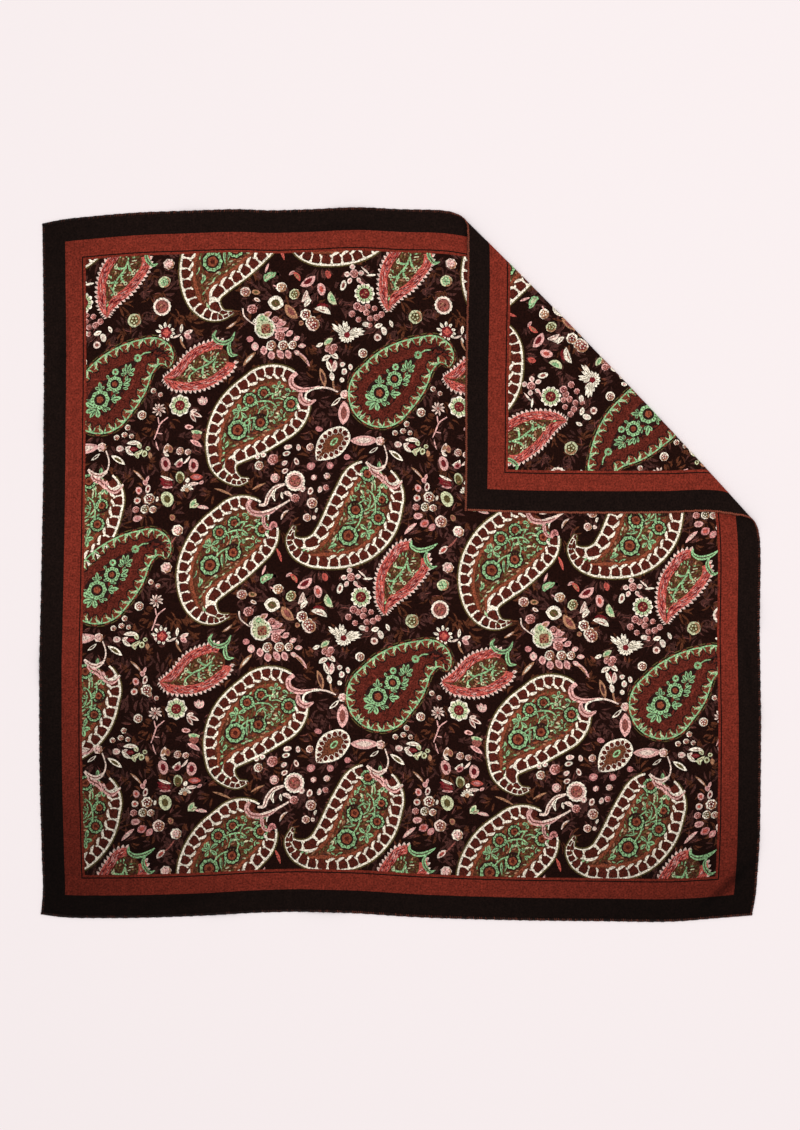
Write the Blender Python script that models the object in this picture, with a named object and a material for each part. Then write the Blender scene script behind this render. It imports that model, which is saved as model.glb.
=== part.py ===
"""Square scarf laid flat, with its top right corner turned over onto its face.

The cloth is one cut panel, worked out as sections that run parallel to the fold,
and a narrow overlocked hem bead lies along each of its four cut edges. A place on
the scarf is given by u, from the left edge, and v, from the bottom edge, and lay()
says where that place lies. Metres, +Z up: the scarf rests on z = 0, centred on the
origin.
"""

from collections import namedtuple

import bmesh
import bpy
import numpy as np

MM = 0.001

# Finished size of the scarf, hems included.
WIDTH = 716 * MM
HEIGHT = 691 * MM

# Cloth wall, and the clear space left between two layers and at each seam.
CLOTH = 1.0 * MM
LAYER_GAP = 0.3 * MM
SEAM_GAP = 0.3 * MM

# Overlocked hem: a bead with eight sides, the lowest one flat.
HEM_WIDTH = 2.8 * MM
HEM_THICKNESS = 1.4 * MM
HEM_SIDES = 8

# The fold's visible edge: where it starts, its run to the lower right and its bow.
FOLD_START = np.array([72.0, 344.3]) * MM
FOLD_END = np.array([344.0, 60.7]) * MM
FOLD_BOW = 3.0 * MM
# The cloth rolls over along the fold. Depth is half the roll in plan and rise is
# half its height, in the middle of the fold and where the hems pass over.
ROLL_DEPTH = 3.0 * MM
ROLL_DEPTH_AT_HEM = 7.0 * MM
ROLL_RISE = 2.2 * MM
ROLL_RISE_AT_HEM = 3.0 * MM
ROLL_SWELLING = 6
# Past the roll the turned corner sinks onto the cloth over about this distance.
SETTLE = 22 * MM

# Spacing of the sections and hem rings, and how far round the roll they are close.
WIDE_STEP = 12.5 * MM
SETTLE_STEP = 5 * MM
ROLL_STEP = 1.25 * MM
ROLL_BEFORE = 9 * MM
ROLL_AFTER = 18 * MM
SETTLE_AFTER = 60 * MM
SECTION_POINTS = 24
HEM_STEP = 11 * MM
HEM_ROLL_STEP = 2.5 * MM

# How far each edge lies outside the straight rectangle, by the distance along it
# from the left or from the bottom. All in millimetres.
EdgeRow = namedtuple("EdgeRow", "along out")
TOP_EDGE = [
    EdgeRow(0, 1.5),
    EdgeRow(18, 5.2),
    EdgeRow(50, 8.9),
    EdgeRow(98, 12.8),
    EdgeRow(146, 14.3),
    EdgeRow(194, 15.9),
    EdgeRow(226, 14.8),
    EdgeRow(258, 15.6),
    EdgeRow(322, 17.5),
    EdgeRow(354, 16.0),
    EdgeRow(402, 14.3),
    EdgeRow(430, 10.0),
    EdgeRow(475, 6.8),
    EdgeRow(535, 5.6),
    EdgeRow(592, 5.0),
    EdgeRow(650, 3.0),
    EdgeRow(716, 1.0),
]
BOTTOM_EDGE = [
    EdgeRow(0, -1.5),
    EdgeRow(22, 1.3),
    EdgeRow(62, 2.2),
    EdgeRow(142, 0.7),
    EdgeRow(222, -3.3),
    EdgeRow(262, -4.1),
    EdgeRow(302, -3.2),
    EdgeRow(382, 1.5),
    EdgeRow(462, 4.0),
    EdgeRow(562, 5.3),
    EdgeRow(642, 5.4),
    EdgeRow(682, 2.2),
    EdgeRow(716, -0.5),
]
LEFT_EDGE = [
    EdgeRow(0, 1.2),
    EdgeRow(20, -0.6),
    EdgeRow(60, 0.3),
    EdgeRow(132, 2.3),
    EdgeRow(252, 2.6),
    EdgeRow(332, 1.0),
    EdgeRow(452, -1.2),
    EdgeRow(552, -1.8),
    EdgeRow(691, -0.3),
]
RIGHT_EDGE = [
    EdgeRow(0, -6.0),
    EdgeRow(20, -2.3),
    EdgeRow(44, -0.3),
    EdgeRow(76, 1.6),
    EdgeRow(140, 2.9),
    EdgeRow(236, 2.6),
    EdgeRow(284, 1.7),
    EdgeRow(380, 1.8),
    EdgeRow(410, -1.0),
    EdgeRow(441, -5.0),
    EdgeRow(491, -1.8),
    EdgeRow(557, 2.0),
    EdgeRow(624, 4.9),
    EdgeRow(691, 5.7),
]

# Soft swells where the cloth doesn't quite reach the surface under it: middle, half
# length along and half width across, in millimetres, and bearing in degrees from +X.
Swell = namedtuple("Swell", "x y half_length half_width bearing height")
SWELLS = [
    Swell(-72, -322, 95, 36, 82, 2.2),
    Swell(-182, -318, 80, 34, 98, 1.8),
    Swell(330, -296, 74, 26, 48, 3.0),
    Swell(338, -40, 80, 30, 168, 2.0),
    Swell(340, -150, 70, 32, 12, 1.8),
    Swell(-340, -96, 84, 34, 174, 2.0),
    Swell(-330, 150, 90, 36, 8, 1.6),
    Swell(-52, 338, 92, 34, 86, 2.2),
    Swell(-205, 334, 76, 34, 100, 1.8),
]


def smooth(rows, at):
    """Cubic curve through the rows of an edge table, in metres."""
    along = np.array([row.along for row in rows]) * MM
    out = np.array([row.out for row in rows]) * MM
    slope = np.gradient(out, along)
    at = np.clip(at, along[0], along[-1])
    left = np.clip(np.searchsorted(along, at) - 1, 0, len(rows) - 2)
    span = along[left + 1] - along[left]
    s = (at - along[left]) / span
    rise = out[left + 1] - out[left]
    start = slope[left] * span
    end = slope[left + 1] * span
    bend = (start - rise) * (1 - s) - (end - rise) * s
    return out[left] + s * rise + s * (1 - s) * bend


def outline(u, v):
    """The left, right, bottom and top edges level with a place on the scarf."""
    left = -WIDTH / 2 - smooth(LEFT_EDGE, v)
    right = WIDTH / 2 + smooth(RIGHT_EDGE, v)
    bottom = -HEIGHT / 2 - smooth(BOTTOM_EDGE, u)
    top = HEIGHT / 2 + smooth(TOP_EDGE, u)
    return left, right, bottom, top


def outline_middle():
    """The middle of the box round the outline."""
    share = np.linspace(0, 1, 400)
    left, right, bottom, top = outline(share * WIDTH, share * HEIGHT)
    return (left.min() + right.max()) / 2, (bottom.min() + top.max()) / 2


MIDDLE_X, MIDDLE_Y = outline_middle()


def plan(u, v):
    """Where a place would lie if the corner weren't turned over."""
    left, right, bottom, top = outline(u, v)
    x = left + (right - left) * u / WIDTH
    y = bottom + (top - bottom) * v / HEIGHT
    return x, y


FOLD_LENGTH = np.linalg.norm(FOLD_END - FOLD_START)
FOLD_RUN = (FOLD_END - FOLD_START) / FOLD_LENGTH
# Across the fold, towards the corner that is turned over.
FOLD_OUT = np.array([-FOLD_RUN[1], FOLD_RUN[0]])


def end_nearness(along):
    """-1 at the fold's start, 0 in its middle and 1 at its end."""
    return np.clip(2 * along / FOLD_LENGTH - 1, -1.1, 1.1)


def bow(along):
    """How far the fold bows out from the line between its ends."""
    return FOLD_BOW * (1 - end_nearness(along) ** 2)


def fold_place(x, y):
    """Distances along the fold and beyond its edge."""
    along = (x - FOLD_START[0]) * FOLD_RUN[0] + (y - FOLD_START[1]) * FOLD_RUN[1]
    beyond = (x - FOLD_START[0]) * FOLD_OUT[0] + (y - FOLD_START[1]) * FOLD_OUT[1]
    return along, beyond - bow(along)


def beyond_fold(u, v):
    """How far a place on the scarf is past the fold's edge."""
    return fold_place(*plan(u, v))[1]


def swell_height(x, y):
    """Height of the soft swells: each is a low mound that ends level with its rim."""
    height = np.zeros_like(x)
    for swell in SWELLS:
        bearing = np.radians(swell.bearing)
        dx = x - swell.x * MM
        dy = y - swell.y * MM
        lengthwise = (dx * np.cos(bearing) + dy * np.sin(bearing)) / (swell.half_length * MM)
        across = (dy * np.cos(bearing) - dx * np.sin(bearing)) / (swell.half_width * MM)
        inside = np.clip(1 - lengthwise**2 - across**2, 0, None)
        height += swell.height * MM * inside**2
    return height


def lay(u, v, lift):
    """Where a place lies, lift being its height through the cloth from the back."""
    along, beyond = fold_place(*plan(u, v))
    swelling = np.abs(end_nearness(along)) ** ROLL_SWELLING
    depth = ROLL_DEPTH + (ROLL_DEPTH_AT_HEM - ROLL_DEPTH) * swelling
    rise = ROLL_RISE + (ROLL_RISE_AT_HEM - ROLL_RISE) * swelling
    round_roll = np.clip(beyond / depth + 1, 0, np.pi)
    past_roll = np.clip(beyond + depth - np.pi * depth, 0, None)
    out = np.minimum(beyond, -depth) + (depth - lift) * np.sin(round_roll) - past_roll
    out = out + bow(along)
    x = FOLD_START[0] + along * FOLD_RUN[0] + out * FOLD_OUT[0]
    y = FOLD_START[1] + along * FOLD_RUN[1] + out * FOLD_OUT[1]
    resting = CLOTH + LAYER_GAP + HEM_THICKNESS
    sinking = (2 * rise - resting) * (1 - np.exp(-((past_roll / SETTLE) ** 2)))
    z = rise - (rise - lift) * np.cos(round_roll) - sinking + swell_height(x, y)
    return np.stack([x - MIDDLE_X, y - MIDDLE_Y, z], axis=-1)


def steps(start, stop, step):
    """Evenly spaced values from start up to, but not including, stop."""
    return np.linspace(start, stop, max(2, round((stop - start) / step) + 1))[:-1]


def corner_path(corners, count=600):
    """Places along straight runs between corners of the panel."""
    share = np.linspace(0, 1, count)[:, None]
    runs = [a + (b - a) * share for a, b in zip(corners[:-1], corners[1:])]
    return np.concatenate(runs)


def panel_sections():
    """Sections parallel to the fold, from the bottom left corner to the turned one."""
    inset = HEM_WIDTH + SEAM_GAP
    low, left_top, right_low, far = (
        np.array([u, v])
        for u, v in (
            (inset, inset),
            (inset, HEIGHT - inset),
            (WIDTH - inset, inset),
            (WIDTH - inset, HEIGHT - inset),
        )
    )
    upper = corner_path([low, left_top, far])
    lower = corner_path([low, right_low, far])
    upper_beyond = beyond_fold(*upper.T)
    lower_beyond = beyond_fold(*lower.T)
    first, last = upper_beyond[0], upper_beyond[-1]
    corners = sorted([beyond_fold(*left_top), beyond_fold(*right_low)])
    stops = [first, *corners, -ROLL_BEFORE, ROLL_AFTER, SETTLE_AFTER, last]
    spacings = [WIDE_STEP, WIDE_STEP, WIDE_STEP, ROLL_STEP, SETTLE_STEP, WIDE_STEP]
    runs = [steps(a, b, s) for a, b, s in zip(stops[:-1], stops[1:], spacings)]
    beyond = np.append(np.concatenate(runs), last)[:, None]
    ends = [
        np.stack([np.interp(beyond, reach, path[:, axis]) for axis in (0, 1)], axis=-1)
        for path, reach in ((upper, upper_beyond), (lower, lower_beyond))
    ]
    share = np.linspace(0, 1, SECTION_POINTS)[None, :, None]
    places = ends[0] + (ends[1] - ends[0]) * share
    # The outline is wavy, so the points between the ends are brought onto the line
    # that is the same distance from the fold all along.
    middle = places[:, 1:-1]
    for _ in range(3):
        error = beyond - beyond_fold(middle[..., 0], middle[..., 1])
        middle += error[..., None] * FOLD_OUT
    return places[..., 0], places[..., 1]


def hem_places(start, end):
    """Places along one edge of the scarf, close together where it is rolled over."""
    start = np.array(start)
    end = np.array(end)
    length = np.linalg.norm(end - start)
    fine = np.linspace(0, 1, round(length / HEM_ROLL_STEP) + 1)
    coarse = max(1, round(HEM_STEP / HEM_ROLL_STEP))
    places = start + (end - start) * fine[:, None]
    beyond = beyond_fold(*places.T)
    rolled = (beyond > -ROLL_BEFORE) & (beyond < ROLL_AFTER)
    kept = rolled | (np.arange(len(fine)) % coarse == 0)
    kept[-1] = True
    return places[kept]


def hem_profile():
    """Distance in from the edge and height of each corner of the hem's bead."""
    angle = 2 * np.pi * (np.arange(HEM_SIDES) + 0.5) / HEM_SIDES
    reach = np.cos(np.pi / HEM_SIDES)
    inward = HEM_WIDTH / 2 * (1 - np.cos(angle) / reach)
    height = HEM_THICKNESS / 2 * (1 + np.sin(angle) / reach)
    return inward, height


def mesh_object(name, points, faces, material, collection):
    """A closed mesh with its faces pointing out, shaded smooth but for its edges."""
    mesh = bpy.data.meshes.new(name)
    mesh.from_pydata(points.reshape(-1, 3).tolist(), [], faces)
    shape = bmesh.new()
    shape.from_mesh(mesh)
    bmesh.ops.remove_doubles(shape, verts=shape.verts, dist=0.00001)
    bmesh.ops.recalc_face_normals(shape, faces=shape.faces)
    shape.to_mesh(mesh)
    shape.free()
    mesh.shade_smooth()
    mesh.set_sharp_from_angle(angle=np.radians(50))
    mesh.materials.append(material)
    made = bpy.data.objects.new(name, mesh)
    collection.objects.link(made)
    return made


def panel(name, material, collection):
    """The cut cloth: a wall between its back and its face, closed round the rim."""
    u, v = panel_sections()
    sides = np.stack([lay(u, v, 0.0), lay(u, v, CLOTH)])
    rows, columns = u.shape
    index = np.arange(sides[..., 0].size).reshape(2, rows, columns)
    faces = []
    for side in index:
        for row in range(rows - 1):
            for column in range(columns - 1):
                square = side[row : row + 2, column : column + 2]
                faces.append([square[0, 0], square[0, 1], square[1, 1], square[1, 0]])
    for row in range(rows - 1):
        for column in (0, columns - 1):
            rim = index[:, row : row + 2, column]
            faces.append([rim[0, 0], rim[0, 1], rim[1, 1], rim[1, 0]])
    return mesh_object(name, sides, faces, material, collection)


def hem(name, start, end, inward_run, material, collection):
    """A bead along one edge, from start to end, just clear of the panel."""
    places = hem_places(start, end)
    inward, height = hem_profile()
    u = places[:, :1] + inward_run[0] * inward
    v = places[:, 1:] + inward_run[1] * inward
    rings = lay(u, v, np.broadcast_to(height, u.shape))
    index = np.arange(rings[..., 0].size).reshape(u.shape)
    faces = [index[0].tolist(), index[-1].tolist()]
    for ring, following in zip(index[:-1], index[1:]):
        for side in range(HEM_SIDES):
            after = (side + 1) % HEM_SIDES
            faces.append([ring[side], ring[after], following[after], following[side]])
    return mesh_object(name, rings, faces, material, collection)


def principled(name, colour, roughness):
    """A plain material of one colour."""
    material = bpy.data.materials.new(name)
    material.use_nodes = True
    shader = material.node_tree.nodes["Principled BSDF"]
    shader.inputs["Base Color"].default_value = (*colour, 1.0)
    shader.inputs["Roughness"].default_value = roughness
    shader.inputs["Metallic"].default_value = 0.0
    material.diffuse_color = (*colour, 1.0)
    return material


def main():
    for old in list(bpy.data.objects):
        bpy.data.objects.remove(old, do_unlink=True)
    collection = bpy.data.collections.new("square_scarf")
    bpy.context.scene.collection.children.link(collection)
    crepe = principled("dark_brown_crepe", (0.028, 0.011, 0.010), 0.7)
    thread = principled("rust_hem_thread", (0.185, 0.040, 0.026), 0.65)
    panel("scarf_panel", crepe, collection)
    # The hems along the top and bottom run to the corners, and the others meet them.
    short = HEM_WIDTH + SEAM_GAP
    hem("hem_top", (0, HEIGHT), (WIDTH, HEIGHT), (0, -1), thread, collection)
    hem("hem_bottom", (0, 0), (WIDTH, 0), (0, 1), thread, collection)
    hem("hem_left", (0, short), (0, HEIGHT - short), (1, 0), thread, collection)
    hem("hem_right", (WIDTH, short), (WIDTH, HEIGHT - short), (-1, 0), thread, collection)


main()
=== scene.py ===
"""A square printed scarf lying flat, its top right corner folded over on to its face.

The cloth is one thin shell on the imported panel's form. Its print is built as the screens of a printer:
each ink is one piece, a film of shapes drawn in cut millimetres (u from the left hem, v from the bottom
hem), repeated over the field and laid with the cloth, on its face and on its reverse. The hems are a
beaded edge wrapped in overlock stitches.
"""

from __future__ import annotations

import sys
import logging
import math
from collections.abc import Callable
from dataclasses import dataclass, field
from enum import Enum

import bpy
import numpy as np
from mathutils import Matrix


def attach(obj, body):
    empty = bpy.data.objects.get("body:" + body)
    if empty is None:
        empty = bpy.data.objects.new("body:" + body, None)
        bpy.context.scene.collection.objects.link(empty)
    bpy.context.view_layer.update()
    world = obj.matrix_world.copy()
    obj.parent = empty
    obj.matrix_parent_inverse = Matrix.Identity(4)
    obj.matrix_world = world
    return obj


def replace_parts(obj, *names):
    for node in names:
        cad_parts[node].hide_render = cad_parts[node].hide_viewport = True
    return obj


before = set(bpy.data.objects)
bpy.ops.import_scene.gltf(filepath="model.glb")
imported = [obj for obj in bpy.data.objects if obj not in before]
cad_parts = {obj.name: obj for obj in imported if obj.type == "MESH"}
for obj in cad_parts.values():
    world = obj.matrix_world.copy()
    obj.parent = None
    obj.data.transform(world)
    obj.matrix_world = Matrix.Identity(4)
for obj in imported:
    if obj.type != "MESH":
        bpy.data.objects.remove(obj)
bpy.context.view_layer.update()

MM = 0.001
LOG = logging.getLogger("scarf")
Grid = np.ndarray  # (..., rows, columns, 2) points in cut millimetres
Rows = np.ndarray  # (triangles, 3, columns): u, v, level, tone and the place of the motif it belongs to


class Ink(Enum):
    """The screens of the print, each with its colour as an sRGB hex value."""

    TONAL = "#4E2D28"
    BROWN = "#6A3A26"
    OLIVE = "#62532F"
    RUST = "#8A4630"
    MAROON = "#542118"
    BRICK = "#6A2A20"
    CORAL = "#BE574C"
    CRIMSON = "#6E1E22"
    BERRY = "#94534A"
    ROSE = "#C47F7C"
    PINK = "#E2AAA2"
    SHELL = "#EED2C2"
    TAN = "#A9785A"
    PALE = "#C9CBA2"
    GREEN = "#8FBA86"
    CREAM = "#F8EBD6"
    BORDER = "#782B1F"


TONAL, BROWN, OLIVE, RUST, MAROON, BRICK = Ink.TONAL, Ink.BROWN, Ink.OLIVE, Ink.RUST, Ink.MAROON, Ink.BRICK
CORAL, CRIMSON, BERRY, ROSE, PINK, SHELL = Ink.CORAL, Ink.CRIMSON, Ink.BERRY, Ink.ROSE, Ink.PINK, Ink.SHELL
TAN, PALE, GREEN, CREAM = Ink.TAN, Ink.PALE, Ink.GREEN, Ink.CREAM


class Side(Enum):
    """Which side of the cloth a film lies on."""

    FACE = 1
    REVERSE = -1


def spline(rows: np.ndarray, samples: int) -> np.ndarray:
    """A smooth path through given rows whose first two columns are its places.

    Between rows k and k+1, with s from 0 to 1 along the chord, it is
    row + s rise + s(1-s)((a-rise)(1-s) - (b-rise)s), a and b the slopes at the two rows times the chord.

    Args:
        rows: the rows, of two columns or more.
        samples: how many places to give, evenly along the chords.

    Returns:
        The path as rows of the same columns.
    """
    rows = np.asarray(rows, float)
    run = np.concatenate([[0.0], np.cumsum(np.hypot(*np.diff(rows[:, :2], axis=0).T))])
    slope = np.gradient(rows, run, axis=0)
    at = np.linspace(0, run[-1], samples)
    k = np.clip(np.searchsorted(run, at) - 1, 0, len(run) - 2)
    span = (run[k + 1] - run[k])[:, None]
    s = (at - run[k])[:, None] / span
    rise = rows[k + 1] - rows[k]
    start, end = slope[k] * span, slope[k + 1] * span
    return rows[k] + s * rise + s * (1 - s) * ((start - rise) * (1 - s) - (end - rise) * s)


@dataclass(frozen=True)
class FoldedForm:
    """The lie of the scarf: from cut millimetres and a height through the cloth to the row frame.

    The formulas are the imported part's own, so that every film and thread lies on its solid.
    """

    width: float = 716.0
    height: float = 691.0
    fold_start: tuple[float, float] = (72.0, 344.3)
    fold_end: tuple[float, float] = (344.0, 60.7)
    fold_bow: float = 3.0
    roll_depth: tuple[float, float] = (3.0, 7.0)
    roll_rise: tuple[float, float] = (2.2, 3.0)
    roll_swelling: int = 6
    resting: float = 2.7
    settle: float = 22.0
    rounds: int = 8
    top: tuple = ((0, 1.5), (18, 5.2), (50, 8.9), (98, 12.8), (146, 14.3), (194, 15.9), (226, 14.8),
                  (258, 15.6), (322, 17.5), (354, 16.0), (402, 14.3), (430, 10.0), (475, 6.8), (535, 5.6),
                  (592, 5.0), (650, 3.0), (716, 1.0))
    bottom: tuple = ((0, -1.5), (22, 1.3), (62, 2.2), (142, 0.7), (222, -3.3), (262, -4.1), (302, -3.2),
                     (382, 1.5), (462, 4.0), (562, 5.3), (642, 5.4), (682, 2.2), (716, -0.5))
    left: tuple = ((0, 1.2), (20, -0.6), (60, 0.3), (132, 2.3), (252, 2.6), (332, 1.0), (452, -1.2),
                   (552, -1.8), (691, -0.3))
    right: tuple = ((0, -6.0), (20, -2.3), (44, -0.3), (76, 1.6), (140, 2.9), (236, 2.6), (284, 1.7),
                    (380, 1.8), (410, -1.0), (441, -5.0), (491, -1.8), (557, 2.0), (624, 4.9), (691, 5.7))
    swells: tuple = ((-72, -322, 95, 36, 82, 2.2), (-182, -318, 80, 34, 98, 1.8),
                     (330, -296, 74, 26, 48, 3.0), (338, -40, 80, 30, 168, 2.0),
                     (340, -150, 70, 32, 12, 1.8), (-340, -96, 84, 34, 174, 2.0),
                     (-330, 150, 90, 36, 8, 1.6), (-52, 338, 92, 34, 86, 2.2),
                     (-205, 334, 76, 34, 100, 1.8))

    @staticmethod
    def smooth(rows: tuple, at: np.ndarray) -> np.ndarray:
        """The edge's distance out at places along it: the same cubic through the rows as spline() draws.

        Args:
            rows: distances along the edge and out from its line.
            at: where along the edge.

        Returns:
            How far out the edge is at each.
        """
        along, out = np.array(rows, float).T
        slope = np.gradient(out, along)
        at = np.clip(at, along[0], along[-1])
        k = np.clip(np.searchsorted(along, at) - 1, 0, len(along) - 2)
        span = along[k + 1] - along[k]
        s, rise = (at - along[k]) / span, out[k + 1] - out[k]
        start, end = slope[k] * span, slope[k + 1] * span
        return out[k] + s * rise + s * (1 - s) * ((start - rise) * (1 - s) - (end - rise) * s)

    def outline(self, u: np.ndarray, v: np.ndarray) -> tuple[np.ndarray, ...]:
        """The left, right, bottom and top edges of the laid scarf level with u and v."""
        return (-self.width / 2 - self.smooth(self.left, v), self.width / 2 + self.smooth(self.right, v),
                -self.height / 2 - self.smooth(self.bottom, u), self.height / 2 + self.smooth(self.top, u))

    def middle(self) -> tuple[float, float]:
        """The middle of the outline's box, which the row frame has at its origin."""
        share = np.linspace(0, 1, 400)
        left, right, bottom, top = self.outline(share * self.width, share * self.height)
        return (left.min() + right.max()) / 2, (bottom.min() + top.max()) / 2

    def plan(self, u: np.ndarray, v: np.ndarray) -> tuple[np.ndarray, np.ndarray]:
        """Where the cut lies before the fold: the rectangle drawn out to the four edges."""
        left, right, bottom, top = self.outline(u, v)
        return left + (right - left) * u / self.width, bottom + (top - bottom) * v / self.height

    def cut_of(self, x: float, y: float) -> tuple[float, float]:
        """Where on the cut a place of the laid scarf is: u and v move by what plan() is out, each round."""
        u, v = x + self.width / 2, y + self.height / 2
        for _ in range(self.rounds):
            plan_x, plan_y = self.plan(u, v)
            u, v = u + x - plan_x, v + y - plan_y
        return float(u), float(v)

    def fold_axes(self) -> tuple[np.ndarray, np.ndarray, np.ndarray, float]:
        """The fold's start, its direction, the direction out of the scarf across it, and its length."""
        start, end = np.array(self.fold_start), np.array(self.fold_end)
        length = float(np.hypot(*(end - start)))
        run = (end - start) / length
        return start, run, np.array([-run[1], run[0]]), length

    def bow(self, along: np.ndarray) -> np.ndarray:
        """How far the fold bows out: bow (1 - e squared), e from -1 to 1 between its ends."""
        return self.fold_bow * (1 - self.nearness(along) ** 2)

    def nearness(self, along: np.ndarray) -> np.ndarray:
        """How near a place along the fold is to its ends, from -1 to 1."""
        return np.clip(2 * along / self.fold_axes()[3] - 1, -1.1, 1.1)

    def fold_place(self, x: np.ndarray, y: np.ndarray) -> tuple[np.ndarray, np.ndarray]:
        """A place as its distance along the fold and its distance beyond it."""
        start, run, out, _ = self.fold_axes()
        dx, dy = x - start[0], y - start[1]
        along = dx * run[0] + dy * run[1]
        return along, dx * out[0] + dy * out[1] - self.bow(along)

    def beyond(self, u: np.ndarray, v: np.ndarray) -> np.ndarray:
        """How far a place on the cut lies beyond the fold, in millimetres; the turned corner is positive."""
        return self.fold_place(*self.plan(u, v))[1]

    def swell(self, x: np.ndarray, y: np.ndarray) -> np.ndarray:
        """The soft ridges of the cloth: each height (1 - a squared - b squared) squared, in its ellipse.

        Args:
            x: millimetres right.
            y: millimetres up.

        Returns:
            How high the cloth is raised there.
        """
        total = np.zeros_like(x)
        for at_x, at_y, half_length, half_width, bearing, height in self.swells:
            turn = math.radians(bearing)
            dx, dy = x - at_x, y - at_y
            lengthwise = (dx * math.cos(turn) + dy * math.sin(turn)) / half_length
            across = (dy * math.cos(turn) - dx * math.sin(turn)) / half_width
            total += height * np.clip(1 - lengthwise**2 - across**2, 0, None) ** 2
        return total

    def lay(self, u: np.ndarray, v: np.ndarray, lift: np.ndarray) -> np.ndarray:
        """Lays places of the cut down, folded.

        Up to the roll the cloth lies flat; round it, at angle r = beyond / depth + 1, it turns over with
        out = -depth + (depth - lift) sin r and z = rise - (rise - lift) cos r; past it the flap sinks on to
        the layer under it as (2 rise - resting)(1 - exp(-(past / settle) squared)).

        Args:
            u: millimetres from the left hem.
            v: millimetres from the bottom hem.
            lift: height through the cloth from its back, in millimetres.

        Returns:
            Points in the row frame, in metres.
        """
        start, run, across, _ = self.fold_axes()
        along, beyond = self.fold_place(*self.plan(u, v))
        swelling = np.abs(self.nearness(along)) ** self.roll_swelling
        depth = self.roll_depth[0] + (self.roll_depth[1] - self.roll_depth[0]) * swelling
        rise = self.roll_rise[0] + (self.roll_rise[1] - self.roll_rise[0]) * swelling
        turn = np.clip(beyond / depth + 1, 0, np.pi)
        past = np.clip(beyond + depth - np.pi * depth, 0, None)
        out = np.minimum(beyond, -depth) + (depth - lift) * np.sin(turn) - past + self.bow(along)
        x = start[0] + along * run[0] + out * across[0]
        y = start[1] + along * run[1] + out * across[1]
        sinking = (2 * rise - self.resting) * (1 - np.exp(-((past / self.settle) ** 2)))
        z = rise - (rise - lift) * np.cos(turn) - sinking + self.swell(x, y)
        middle = self.middle()
        return np.stack([x - middle[0], y - middle[1], z], axis=-1) * MM

    def normals(self, u: np.ndarray, v: np.ndarray, lift: np.ndarray) -> np.ndarray:
        """The way out of the face: the cross product of the laid cloth's slopes along u and v."""
        step = 0.2
        along_u = self.lay(u + step, v, lift) - self.lay(u - step, v, lift)
        along_v = self.lay(u, v + step, lift) - self.lay(u, v - step, lift)
        out = np.cross(along_u, along_v)
        return out / np.linalg.norm(out, axis=1, keepdims=True)


FORM = FoldedForm()
CHART_MIDDLE = (400.0, 570.5)  # the chart place of the laid scarf's middle, a unit of the chart being 1 mm


def at(right: float, down: float, *half_width: float) -> tuple[float, ...]:
    """A place of the chart, read off the photo, on the cut, with a half width if it has one."""
    return *FORM.cut_of(right - CHART_MIDDLE[0], CHART_MIDDLE[1] - down), *half_width


def charted(*discs: tuple[float, float, float]) -> tuple[tuple[float, ...], ...]:
    """The discs of a paisley, each right, down and half width, on the cut."""
    return tuple(at(*one) for one in discs)


def places(*chart: float) -> tuple[tuple[float, ...], ...]:
    """Chart numbers, right and down by turns, as places on the cut."""
    return tuple(at(*pair) for pair in zip(chart[::2], chart[1::2]))


@dataclass(frozen=True)
class Layers:
    """Heights through the cloth, in millimetres from the bottom of its solid; level -1 is the bare cloth."""

    back: float = 0.36
    face: float = 0.64
    first: float = 0.08
    step: float = 0.024

    def lift(self, side: Side, level: np.ndarray) -> np.ndarray:
        """The height of a film of that level on that side of the cloth."""
        above = np.where(level < 0, 0.0, self.first + self.step * level)
        return self.face + above if side is Side.FACE else self.back - above


LAYERS = Layers()


def loft(grid: Grid) -> np.ndarray:
    """Triangles (n, 3, 2) of a grid of places, two for each cell."""
    a, b = grid[..., :-1, :-1, :], grid[..., 1:, :-1, :]
    c, d = grid[..., 1:, 1:, :], grid[..., :-1, 1:, :]
    return np.concatenate([np.stack(three, -2).reshape(-1, 3, 2) for three in ([a, b, c], [a, c, d])])


def ribbon(path: np.ndarray, half: np.ndarray) -> Grid:
    """A strip along a path: its places plus and minus the half width across it."""
    along = np.gradient(path, axis=0)
    along /= np.maximum(np.hypot(*along.T), 1e-9)[:, None]
    across = np.stack([-along[:, 1], along[:, 0]], axis=1) * np.asarray(half)[:, None]
    return np.stack([path + across, path - across])


def blade(
    start: tuple, end: tuple, width: float, bow: float = 0.0, belly: float = 0.5, steps: int = 7
) -> Grid:
    """A leaf from start to end: half width = width/2 sin(pi s^k)^0.7, k from belly, its mid line bowed.

    Args:
        start: its base.
        end: its tip.
        width: its full width, in millimetres.
        bow: how far its mid line bows to the left.
        belly: where along it is widest, as a share.
        steps: how many places along it.

    Returns:
        A grid of two rows.
    """
    start, end = np.asarray(start, float), np.asarray(end, float)
    s = np.linspace(0, 1, steps)
    chord = end - start
    side = np.array([-chord[1], chord[0]]) / max(float(np.hypot(*chord)), 1e-9)
    path = start + chord * s[:, None] + side * (4 * bow * s * (1 - s))[:, None]
    power = math.log(0.5) / math.log(belly)
    return ribbon(path, width / 2 * np.sin(np.pi * s**power).clip(0) ** 0.7)


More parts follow.
